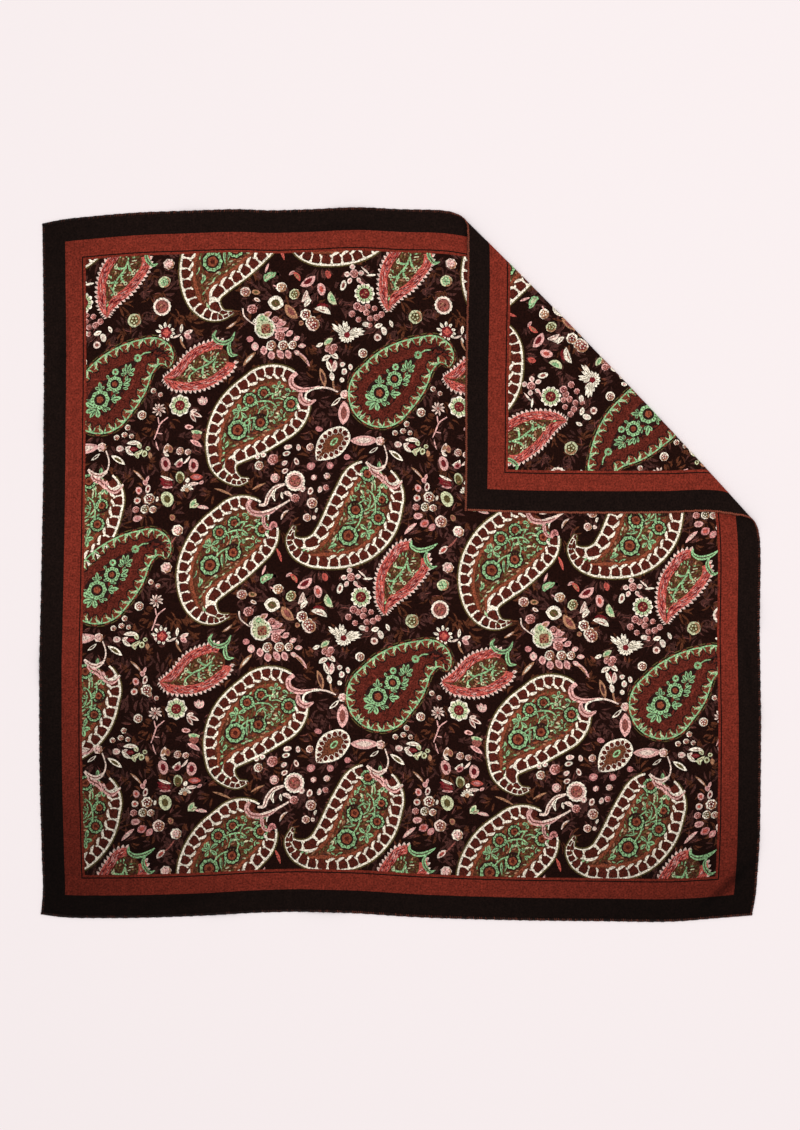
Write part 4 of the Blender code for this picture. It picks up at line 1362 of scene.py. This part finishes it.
@dataclass
class Surface:
    """A mesh worked out in whole arrays: points in metres, faces, ways out, places on the cut, and tones."""

    points: np.ndarray
    faces: np.ndarray
    ways: np.ndarray
    cut: np.ndarray
    tone: np.ndarray

    def joined(self, other: Surface) -> Surface:
        """This surface and another as one."""
        pairs = ((self.points, other.points), (self.faces, other.faces + len(self.points)),
                 (self.ways, other.ways), (self.cut, other.cut), (self.tone, other.tone))
        return Surface(*(np.concatenate(pair) for pair in pairs))

    def build(self, name: str, material: bpy.types.Material) -> bpy.types.Object:
        """Makes the object, smooth, with the cut as its UV map and its tones as an attribute.

        Args:
            name: the piece's name.
            material: its finish.

        Returns:
            The object, in the scene.
        """
        mesh = bpy.data.meshes.new(name)
        mesh.vertices.add(len(self.points))
        mesh.vertices.foreach_set("co", self.points.astype(np.float32).ravel())
        mesh.loops.add(self.faces.size)
        mesh.loops.foreach_set("vertex_index", self.faces.astype(np.int32).ravel())
        mesh.polygons.add(len(self.faces))
        mesh.polygons.foreach_set("loop_start", np.arange(0, self.faces.size, 3, dtype=np.int32))
        mesh.update(calc_edges=True)
        places = self.cut[self.faces.ravel()] / (FORM.width, FORM.height)
        mesh.uv_layers.new(name=UV_MAP).data.foreach_set("uv", places.astype(np.float32).ravel())
        tones = mesh.attributes.new("tone", "FLOAT", "POINT")
        tones.data.foreach_set("value", self.tone.astype(np.float32))
        mesh.normals_split_custom_set_from_vertices(self.ways.tolist())
        mesh.materials.append(material)
        piece = bpy.data.objects.new(name, mesh)
        bpy.context.scene.collection.objects.link(piece)
        return piece


def surface_of(rows: Rows, side: Side) -> Surface:
    """Lays triangles of the cut on one side of the cloth, corners that meet made one.

    Args:
        rows: triangles with u, v, level and tone.
        side: the side of the cloth they lie on, which is also the way they face.

    Returns:
        The laid surface.
    """
    doubled = area(rows)
    rows = np.where((doubled < 0)[:, None, None], rows[:, ::-1], rows)[np.abs(doubled) > 1e-3]
    corners = np.round(rows[..., :4], 3).reshape(-1, 4)
    corners, index = np.unique(corners, axis=0, return_inverse=True)
    faces = index.reshape(-1, 3)
    faces = faces[(faces[:, 0] != faces[:, 1]) & (faces[:, 1] != faces[:, 2]) & (faces[:, 2] != faces[:, 0])]
    u, v, level, tone = corners.T
    lift = LAYERS.lift(side, level)
    ways = FORM.normals(u, v, lift) * side.value
    return Surface(FORM.lay(u, v, lift), faces[:, :: side.value], ways, corners[:, :2], tone)


def linear(code: str) -> tuple[float, float, float, float]:
    """An sRGB hex colour as the linear values that a socket holds."""
    share = np.array([int(code[k : k + 2], 16) for k in (1, 3, 5)]) / 255
    out = np.where(share <= 0.04045, share / 12.92, ((share + 0.055) / 1.055) ** 2.4)
    return (*(float(c) for c in out), 1.0)


def add(
    tree: bpy.types.NodeTree, kind: str, inputs: dict | None = None, **settings: object
) -> bpy.types.Node:
    """Adds a node to a tree.

    Args:
        tree: the node tree.
        kind: the node's type without its first word.
        inputs: a value for each input, or the socket or node that is linked to it.
        **settings: the node's own settings.

    Returns:
        The node.
    """
    node = tree.nodes.new("ShaderNode" + kind)
    for name, value in settings.items():
        setattr(node, name, value)
    for key, value in (inputs or {}).items():
        if isinstance(value, bpy.types.Node):
            value = value.outputs[0]
        if isinstance(value, bpy.types.NodeSocket):
            tree.links.new(value, node.inputs[key])
        else:
            node.inputs[key].default_value = value
    return node


def blank(name: str) -> tuple[bpy.types.Material, bpy.types.NodeTree, bpy.types.Node]:
    """A new material of that name, with its node tree and its shader."""
    made = bpy.data.materials.new(name)
    made.use_nodes = True
    return made, made.node_tree, made.node_tree.nodes["Principled BSDF"]


@dataclass(frozen=True)
class CrepeFinish:
    """Printed crepe de chine: a close plain weave of tightly twisted thread, matt and faintly pebbled.

    Each colour has bled a little and taken unevenly. Painted shade darkens it towards some corners, along
    the bottom edge and along each crease.
    """

    pitch: float = 0.34
    pebble: float = 0.8
    bleed: float = 7.0
    grain: float = 1.8
    tone_share: float = 0.13
    bump: float = 0.25
    roughness: float = 0.78
    specular: float = 0.03
    sheen: float = 0.02
    fleck: float = 1.5
    border: float = 42.0
    border_colour: str = "#180E0B"
    field_colour: str = "#1E0B07"
    # Painted shade towards the bottom left, top left and bottom right corners and along the bottom edge: a
    # centre on the cut, the distance it is deepest within, the distance it ends at, and the deepest share.
    shade_falloffs: tuple = (((-50.0, 60.0), 0.0, 330.0, 0.4), ((-30.0, 691.0), 0.0, 130.0, 0.66),
                    ((358.0, -1500.0), 1480.0, 1700.0, 0.7), ((750.0, -40.0), 30.0, 360.0, 0.62))
    # Painted shade along each crease: a centre on the cut, a bearing in degrees, a half length, a half width
    # and the deepest share.
    crease_shadows: tuple = (((686.0, 33.0), 42.0, 52.0, 9.0, 0.4), ((660.0, 60.0), 40.0, 30.0, 8.0, 0.75),
                      ((150.0, 18.0), 8.0, 60.0, 9.0, 0.72), ((20.0, 560.0), 84.0, 60.0, 8.0, 0.72),
                      ((704.0, 250.0), 95.0, 70.0, 7.0, 0.75), ((300.0, 672.0), 4.0, 55.0, 8.0, 0.78))

    def material(self, name: str, ink: Ink | None = None) -> bpy.types.Material:
        """The finish of one print colour, or of the cloth itself where no ink is given.

        Args:
            name: the material's name.
            ink: the print colour, or None.

        Returns:
            The material.
        """
        made, tree, shader = blank(name)
        uv = add(tree, "UVMap", uv_map=UV_MAP)
        cut = add(tree, "Mapping", {"Vector": uv, "Scale": (FORM.width, FORM.height, 1.0)})
        base = linear(ink.value)[:3] if ink else self.ground(tree, cut.outputs[0])
        colour = self.uneven_and_shaded(tree, cut.outputs[0], base, broken=ink not in (None, Ink.BORDER))
        tree.links.new(colour, shader.inputs["Base Color"])
        tree.links.new(self.weave(tree, cut.outputs[0]), shader.inputs["Normal"])
        for socket, value in (("Roughness", self.roughness), ("Specular IOR Level", self.specular),
                              ("Sheen Weight", self.sheen), ("Sheen Roughness", 0.5)):
            shader.inputs[socket].default_value = value
        return made

    def ground(self, tree: bpy.types.NodeTree, cut: bpy.types.NodeSocket) -> bpy.types.NodeSocket:
        """Black along the borders and deep brown in the field, by distance from the nearest edge of the cut.

        Args:
            tree: the node tree.
            cut: the place on the cut.

        Returns:
            The colour.
        """
        apart = add(tree, "SeparateXYZ", {0: cut})
        nearest = None
        for axis, length in ((0, FORM.width), (1, FORM.height)):
            far = add(tree, "Math", {0: length, 1: apart.outputs[axis]}, operation="SUBTRACT")
            near = add(tree, "Math", {0: far, 1: apart.outputs[axis]}, operation="MINIMUM")
            if nearest is not None:
                near = add(tree, "Math", {0: near, 1: nearest}, operation="MINIMUM")
            nearest = near
        inside = add(tree, "Math", {0: nearest, 1: self.border}, operation="GREATER_THAN")
        mix = add(tree, "Mix", {"Factor": inside, "A": linear(self.border_colour),
                                "B": linear(self.field_colour)}, data_type="RGBA")
        return mix.outputs["Result"]

    def uneven_and_shaded(
        self, tree: bpy.types.NodeTree, cut: bpy.types.NodeSocket, base: object, broken: bool
    ) -> bpy.types.NodeSocket:
        """The colour as it took: by shape, in soft blotches and in streaks; and painted shade, darker towards
        corners and the bottom edge and along each crease.

        Args:
            tree: the node tree.
            cut: the place on the cut.
            base: the colour, or the socket that gives it.
            broken: whether it has dark flecks where the screens missed each other.

        Returns:
            The colour.
        """
        tone = add(tree, "Attribute", attribute_name="tone")
        blotch = add(tree, "TexNoise", {"Vector": cut, "Scale": 1 / self.bleed, "Detail": 3.0,
                                        "Roughness": 0.6})
        streaked = add(tree, "Mapping", {"Vector": cut, "Scale": (0.9, 0.02, 1.0), "Rotation": (0, 0, 0.02)})
        streak = add(tree, "TexNoise", {"Vector": streaked, "Scale": 1.0, "Detail": 2.0})
        grain = add(tree, "TexNoise", {"Vector": cut, "Scale": 1 / self.grain, "Detail": 2.0,
                                       "Roughness": 0.7})
        share = add(tree, "Math", {0: tone.outputs["Fac"], 1: self.tone_share, 2: 1.0},
                    operation="MULTIPLY_ADD")
        factors = [
            add(tree, "MapRange", {"Value": texture, "From Min": 0.35, "From Max": 0.65,
                                   "To Min": 1 - strength / 2, "To Max": 1 + strength / 2})
            for texture, strength in ((blotch, 0.3), (streak, 0.16), (grain, 0.9))
        ]
        if broken:
            missed = add(tree, "TexNoise", {"Vector": cut, "Scale": 1 / self.fleck, "Detail": 1.5,
                                            "Roughness": 0.6})
            factors.append(add(tree, "MapRange", {"Value": missed, "From Min": 0.36, "From Max": 0.47,
                                                  "To Min": 0.35, "To Max": 1.08}))
        # Painted shade along each crease.
        for (u, v), bearing, half_length, half_width, deepest in self.crease_shadows:
            placed = add(tree, "Mapping", {"Vector": cut, "Location": (u, v, 0),
                                           "Rotation": (0, 0, math.radians(bearing)),
                                           "Scale": (half_length, half_width, 1)}, vector_type="TEXTURE")
            away = add(tree, "VectorMath", {0: placed}, operation="LENGTH")
            factors.append(add(tree, "MapRange", {"Value": away.outputs["Value"], "To Min": deepest},
                               interpolation_type="SMOOTHSTEP"))
        # Painted shade towards some corners and along the bottom edge.
        for (u, v), near, far, deepest in self.shade_falloffs:
            away = add(tree, "VectorMath", {0: cut, 1: (u, v, 0.0)}, operation="DISTANCE")
            factors.append(add(tree, "MapRange", {"Value": away.outputs["Value"], "From Min": near,
                                                  "From Max": far, "To Min": deepest},
                               interpolation_type="SMOOTHSTEP"))
        for factor in factors:
            share = add(tree, "Math", {0: share, 1: factor}, operation="MULTIPLY")
        return add(tree, "VectorMath", {0: base, "Scale": share}, operation="SCALE").outputs[0]

    def weave(self, tree: bpy.types.NodeTree, cut: bpy.types.NodeSocket) -> bpy.types.NodeSocket:
        """Warp and weft as two crossed waves of the thread's pitch, roughened by the crepe twist's pebbles.

        Args:
            tree: the node tree.
            cut: the place on the cut.

        Returns:
            The way the surface faces.
        """
        height = add(tree, "TexNoise", {"Vector": cut, "Scale": 1 / self.pebble, "Detail": 4.0})
        for axis in ("X", "Y"):
            thread = add(tree, "TexWave", {"Vector": cut, "Scale": 0.314 / self.pitch, "Distortion": 1.6,
                                           "Detail": 1.0, "Detail Scale": 2.0}, bands_direction=axis)
            height = add(tree, "Math", {0: thread.outputs[1], 1: 0.35, 2: height},
                         operation="MULTIPLY_ADD")
        bump = add(tree, "Bump", {"Strength": self.bump, "Distance": 0.08 * MM, "Height": height})
        return bump.outputs[0]


@dataclass(frozen=True)
class ThreadFinish:
    """Polyester overlock thread: smooth two-ply yarn, rust, painted near black with shade towards the left
    and bottom left.
    """

    bright: str = "#A9563F"
    # The dark end is the thread painted in shade, and the darker bead under it.
    dark: str = "#170B08"
    ply: float = 0.5

    def material(self, name: str) -> bpy.types.Material:
        """The finish, its colour running from dark to bright with the tone -1 to 1.

        Args:
            name: the material's name.

        Returns:
            The material.
        """
        made, tree, shader = blank(name)
        tone = add(tree, "Attribute", attribute_name="tone")
        share = add(tree, "MapRange", {"Value": tone.outputs["Fac"], "From Min": -1.0, "From Max": 1.0})
        mix = add(tree, "Mix", {"Factor": share, "A": linear(self.dark), "B": linear(self.bright)},
                  data_type="RGBA")
        place = add(tree, "TexCoord")
        ply = add(tree, "TexNoise", {"Vector": place.outputs["Object"], "Scale": 1 / (self.ply * MM),
                                     "Detail": 3.0})
        worn = add(tree, "MapRange", {"Value": ply, "To Min": 0.75, "To Max": 1.25})
        colour = add(tree, "VectorMath", {0: mix.outputs["Result"], "Scale": worn}, operation="SCALE")
        bump = add(tree, "Bump", {"Strength": 0.4, "Distance": 0.05 * MM, "Height": ply})
        tree.links.new(colour.outputs[0], shader.inputs["Base Color"])
        tree.links.new(bump.outputs[0], shader.inputs["Normal"])
        for socket, value in (("Roughness", 0.6), ("Specular IOR Level", 0.1), ("Sheen Weight", 0.02)):
            shader.inputs[socket].default_value = value
        return made


@dataclass(frozen=True)
class Fabric:
    """The cloth: triangles of the cut, fine over the fold and the swells, laid as a thin closed shell."""

    cells: tuple[int, int] = (130, 126)
    margin: float = 0.4
    bands: tuple[tuple[float, float], ...] = ((22.5, 39.0), (40.2, 42.6))

    def lines(self) -> tuple[np.ndarray, np.ndarray]:
        """The places of the grid lines along u and along v."""
        return (np.linspace(self.margin, FORM.width - self.margin, self.cells[0] + 1),
                np.linspace(self.margin, FORM.height - self.margin, self.cells[1] + 1))

    def rows(self) -> Rows:
        """The whole cut as triangles, at the level of the bare cloth."""
        u, v = self.lines()
        corners = loft(np.stack(np.meshgrid(u, v, indexing="ij"), axis=-1))
        marks = np.broadcast_to(np.array([-1.0, 0.0]), (*corners.shape[:2], 2))
        return np.concatenate([corners, marks], axis=-1)

    def fitted(self, rows: Rows) -> Rows:
        """Cuts triangles where the cloth rolls over or swells, so that they follow it.

        Round the fold they are cut every millimetre of distance beyond it, past it every five, and on
        a swell at the grid's own lines.

        Args:
            rows: the triangles.

        Returns:
            The triangles, cut.
        """
        beyond = FORM.beyond(rows[..., 0], rows[..., 1])[..., None]
        rows = split_on(np.concatenate([rows, beyond], axis=-1), rows.shape[-1], ROLL_LINES)[..., :-1]
        x, y = FORM.plan(rows[..., 0], rows[..., 1])
        flap = FORM.beyond(rows[..., 0], rows[..., 1]).max(axis=1) > -8
        swelling = (FORM.swell(x, y).max(axis=1) > 0.02) | flap
        cut = rows[swelling]
        for column, lines in enumerate(self.lines()):
            cut = split_on(cut, column, lines)
        return np.concatenate([rows[~swelling], cut])

    def shell(self) -> Surface:
        """The face, the reverse, and the rim between them.

        Returns:
            The closed surface.
        """
        rows = self.fitted(self.rows())
        face, reverse = surface_of(rows, Side.FACE), surface_of(rows, Side.REVERSE)
        both = face.joined(reverse)
        edges = np.concatenate([face.faces[:, [0, 1]], face.faces[:, [1, 2]], face.faces[:, [2, 0]]])
        _, index, count = np.unique(np.sort(edges, axis=1), axis=0, return_inverse=True, return_counts=True)
        a, b = edges[count[index.ravel()] == 1].T
        under = len(face.points)
        rim = [np.stack(three, axis=1) for three in ([b, a, a + under], [b, a + under, b + under])]
        both.faces = np.concatenate([both.faces, *rim])
        return both

    def borders(self) -> Rows:
        """The rust frames of the border, as triangles between their two distances from the edge.

        Returns:
            The triangles.
        """
        rows = self.rows()
        depths = np.array(sorted(depth for band in self.bands for depth in band))
        for column, length in ((0, FORM.width), (1, FORM.height)):
            rows = split_on(rows, column, np.concatenate([depths, length - depths[::-1]]))
        middle = rows[..., :2].mean(axis=1)
        depth = np.minimum(middle, (FORM.width, FORM.height) - middle).min(axis=1)
        rows = rows[np.any([(depth > near) & (depth < far) for near, far in self.bands], axis=0)]
        rows[..., 2] = 0
        return rows


ROLL_LINES = np.concatenate([np.arange(-9, 18.01, 1.0), np.arange(20, 61, 5.0)])
FABRIC = Fabric()


@dataclass(frozen=True)
class Overlock:
    """One hem: a bead of folded cloth along the edge, oval in section, with thread wound round it."""

    name: str
    start: tuple[float, float]
    end: tuple[float, float]
    inward: tuple[float, float]
    # How far along the hem its thread is painted dark with shade.
    painted_shade_until: float
    glow: float = 1.0
    middle: tuple[float, float] = (1.35, 0.68)
    bead: tuple[float, float] = (1.15, 0.46)
    thread: float = 0.13
    thread_shape: tuple[float, float] = (0.8, 2.2)
    pitch: float = 2.1

    def placed(
        self, along: np.ndarray, inward: np.ndarray, lift: np.ndarray
    ) -> tuple[np.ndarray, np.ndarray]:
        """Points of the hem in metres, and their places on the cut, from distances along, in and up."""
        way = np.subtract(self.end, self.start) / np.hypot(*np.subtract(self.end, self.start))
        cut = np.asarray(self.start) + along[:, None] * way + inward[:, None] * np.asarray(self.inward)
        return FORM.lay(cut[:, 0], cut[:, 1], lift), cut

    def tube(self, along: np.ndarray, inward: np.ndarray, lift: np.ndarray, tone: np.ndarray) -> Surface:
        """A tube of rings along the hem, each closed.

        Args:
            along: millimetres along the edge, by ring and side.
            inward: millimetres in from it.
            lift: height through the cloth.
            tone: the tone of each point.

        Returns:
            The surface.
        """
        rings, sides = along.shape
        points, cut = self.placed(along.ravel(), inward.ravel(), lift.ravel())
        k, s = np.meshgrid(np.arange(rings - 1), np.arange(sides), indexing="ij")
        a, b = (k * sides + s).ravel(), (k * sides + (s + 1) % sides).ravel()
        c, d = b + sides, a + sides
        faces = np.concatenate([np.stack([a, b, c], axis=1), np.stack([a, c, d], axis=1)])
        grid = points.reshape(rings, sides, 3)
        centres = np.repeat(grid.mean(axis=1)[:, None], sides, axis=1).reshape(-1, 3)
        ways = points - centres
        ways /= np.linalg.norm(ways, axis=1, keepdims=True)
        a, b, c = faces[: len(faces) // 2].T
        if (np.cross(points[b] - points[a], points[c] - points[a]) * ways[a]).sum() < 0:
            faces = faces[:, ::-1]
        return Surface(points, faces, ways, cut, tone.ravel())

    def surface(self, rng: np.random.Generator) -> Surface:
        """The bead, then the thread: inward = middle + a cos w, lift = middle + b sin w, a turn every pitch.

        Args:
            rng: how far each turn of the thread reaches, and its tone.

        Returns:
            Both as one surface.
        """
        length = float(np.hypot(*np.subtract(self.end, self.start)))
        t = np.linspace(0, 1, int(length / 1.5) + 1)
        along, w = np.meshgrid(t * length, np.linspace(0, 2 * np.pi, 9)[:-1], indexing="ij")
        # The bead follows the painted shade too, 0.7 darker than the thread.
        core = self.tube(along, self.middle[0] + self.waver(along) + self.bead[0] * np.cos(w),
                         self.middle[1] + self.bead[1] * np.sin(w), self.shade(along) - 0.7)
        turns = length / self.pitch
        w = np.linspace(0, 2 * np.pi * turns, int(turns * 9))
        s = np.linspace(self.thread, length - self.thread, len(w)) + 0.25 * np.sin(w * 0.31)
        loop = (w / (2 * np.pi) + 0.25).astype(int)
        reach = rng.uniform(0.86, 1.16, int(turns) + 2)[loop]
        a, b = self.bead[0] * reach + self.thread * 0.8, self.bead[1] + self.thread * 0.8
        inward = self.middle[0] + self.waver(s) + a * np.cos(w)
        path = np.stack([s, inward, self.middle[1] + b * np.sin(w)], axis=1)
        along = np.gradient(path, axis=0)
        along /= np.linalg.norm(along, axis=1, keepdims=True)
        out = np.stack([np.zeros_like(w), np.cos(w) * b, np.sin(w) * a], axis=1)
        out /= np.linalg.norm(out, axis=1, keepdims=True)
        aside = np.cross(along, out)
        ring = np.linspace(0, 2 * np.pi, 5)[:-1, None]
        thick, wide = self.thread_shape
        around = path[:, None] + self.thread * (out[:, None] * np.cos(ring) * thick
                                                + aside[:, None] * np.sin(ring) * wide)
        fleck = rng.uniform(-0.75, 0.4, int(turns) + 2)[loop]
        # The thread's tone: painted shade along the hem, with a random fleck for each turn.
        tone = self.shade(around[..., 0]) + fleck[:, None]
        around[..., 2] = around[..., 2].clip(0.02)
        return core.joined(self.tube(around[..., 0], around[..., 1], around[..., 2], tone))

    def waver(self, along: np.ndarray) -> np.ndarray:
        """How far the hem wavers in from its line: two sine waves of 11 and 5 mm, fading at the ends."""
        edge = np.abs(2 * along / float(np.hypot(*np.subtract(self.end, self.start))) - 1)
        return (0.16 * np.sin(along * 0.57) + 0.1 * np.sin(along * 1.27 + 1)) * (1 - edge**12)

    def shade(self, along: np.ndarray) -> np.ndarray:
        """The thread's tone, which is painted shade: dark, -0.9, up to a distance along the edge, dull rust
        60 mm on, and bright rust past the fold.
        """
        _, cut = self.placed(along.ravel(), np.zeros(along.size), np.zeros(along.size))
        beyond = FORM.beyond(cut[:, 0], cut[:, 1]).reshape(along.shape)
        dull = 0.6 * np.clip((along - self.painted_shade_until) / 60, 0, 1)
        return -0.9 + dull + self.glow * np.clip(beyond / 20 + 0.5, 0, 1)


# Each hem's fourth number is how far along it the thread is painted dark with shade; the left one is dark all
# the way.
HEMS = (
    Overlock("hem_top", (0.0, 691.0), (716.0, 691.0), (0.0, -1.0), 30.0, 0.75),
    Overlock("hem_right", (716.0, 3.1), (716.0, 687.9), (-1.0, 0.0), -60.0),
    Overlock("hem_bottom", (0.0, 0.0), (716.0, 0.0), (0.0, 1.0), 250.0),
    Overlock("hem_left", (0.0, 3.1), (0.0, 687.9), (1.0, 0.0), 800.0),
)


@dataclass(frozen=True)
class Print:
    """The print: each ink one piece, with its films on the face and on the reverse of the cloth."""

    def pieces(self) -> dict[Ink, Surface]:
        """Every ink's films, laid.

        Returns:
            A surface for each ink.
        """
        cell = one_repeat()
        rows = {ink: REPEAT.printed(films) for ink, films in cell.items()}
        rows[Ink.BORDER] = FABRIC.borders()
        made = {}
        for ink, films in rows.items():
            films = FABRIC.fitted(films)
            made[ink] = surface_of(films, Side.FACE).joined(surface_of(films, Side.REVERSE))
        return made


@dataclass(frozen=True)
class Studio:
    """Where the scarf was photographed: a pale floor, seen from straight above in soft light."""

    scale: float = 1.13
    distance: float = 2.4
    raised: float = 5.5
    floor: str = "#F5ECED"
    softbox: float = 3.4
    power: float = 42.0
    daylight: float = 0.72

    def build(self) -> None:
        """The floor, the light and the camera."""
        scene = bpy.context.scene
        scene.view_settings.view_transform = "Standard"
        ground, _, shader = blank("seamless_paper")
        shader.inputs["Base Color"].default_value = linear(self.floor)
        shader.inputs["Roughness"].default_value = 0.9
        shader.inputs["Specular IOR Level"].default_value = 0.0
        mesh = bpy.data.meshes.new("floor")
        mesh.from_pydata([(-4, -4, 0), (4, -4, 0), (4, 4, 0), (-4, 4, 0)], [], [(0, 1, 2, 3)])
        mesh.materials.append(ground)
        floor = bpy.data.objects.new("floor", mesh)
        lamp = bpy.data.lights.new("softbox", "AREA")
        lamp.shape, lamp.size, lamp.energy = "SQUARE", self.softbox, self.power
        light = bpy.data.objects.new("softbox", lamp)
        light.location = (0.4, 0.4, 3.0)
        light.rotation_euler = (-0.13, 0.13, 0.0)
        lens = bpy.data.cameras.new("camera")
        lens.sensor_width, lens.lens = 36.0, 36.0 * self.distance / self.scale
        camera = bpy.data.objects.new("camera", lens)
        middle = FORM.middle()
        camera.location = (-middle[0] * MM, (self.raised - middle[1]) * MM, self.distance)
        world = bpy.data.worlds.new("daylight")
        world.use_nodes = True
        background = world.node_tree.nodes["Background"]
        background.inputs["Color"].default_value = (1.0, 0.99, 0.985, 1.0)
        background.inputs["Strength"].default_value = self.daylight
        scene.world, scene.camera = world, camera
        for thing in (floor, light, camera):
            scene.collection.objects.link(thing)


def main() -> None:
    """Builds the scarf piece by piece, then the studio."""
    logging.basicConfig(level=logging.INFO, format="%(message)s", stream=sys.stdout)
    crepe, thread = CrepeFinish(), ThreadFinish().material("polyester_overlock_thread")
    cloth = FABRIC.shell().build("scarf_cloth", crepe.material("crepe_ground"))
    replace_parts(cloth, "scarf_panel")
    slots = {cloth: "printed_crepe"}
    for ink, films in Print().pieces().items():
        name = ink.name.lower()
        slots[films.build(f"print_{name}", crepe.material(f"crepe_{name}", ink))] = "printed_crepe"
    rng = np.random.default_rng(HEM_SEED)
    for hem in HEMS:
        piece = hem.surface(rng).build(f"overlock_{hem.name[4:]}", thread)
        slots[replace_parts(piece, hem.name)] = "hem_thread"
    for piece, slot in slots.items():
        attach(piece, "root")
        LOG.info("%s: %d triangles, %s", piece.name, len(piece.data.polygons), slot)
    Studio().build()


if __name__ == "__main__":
    main()
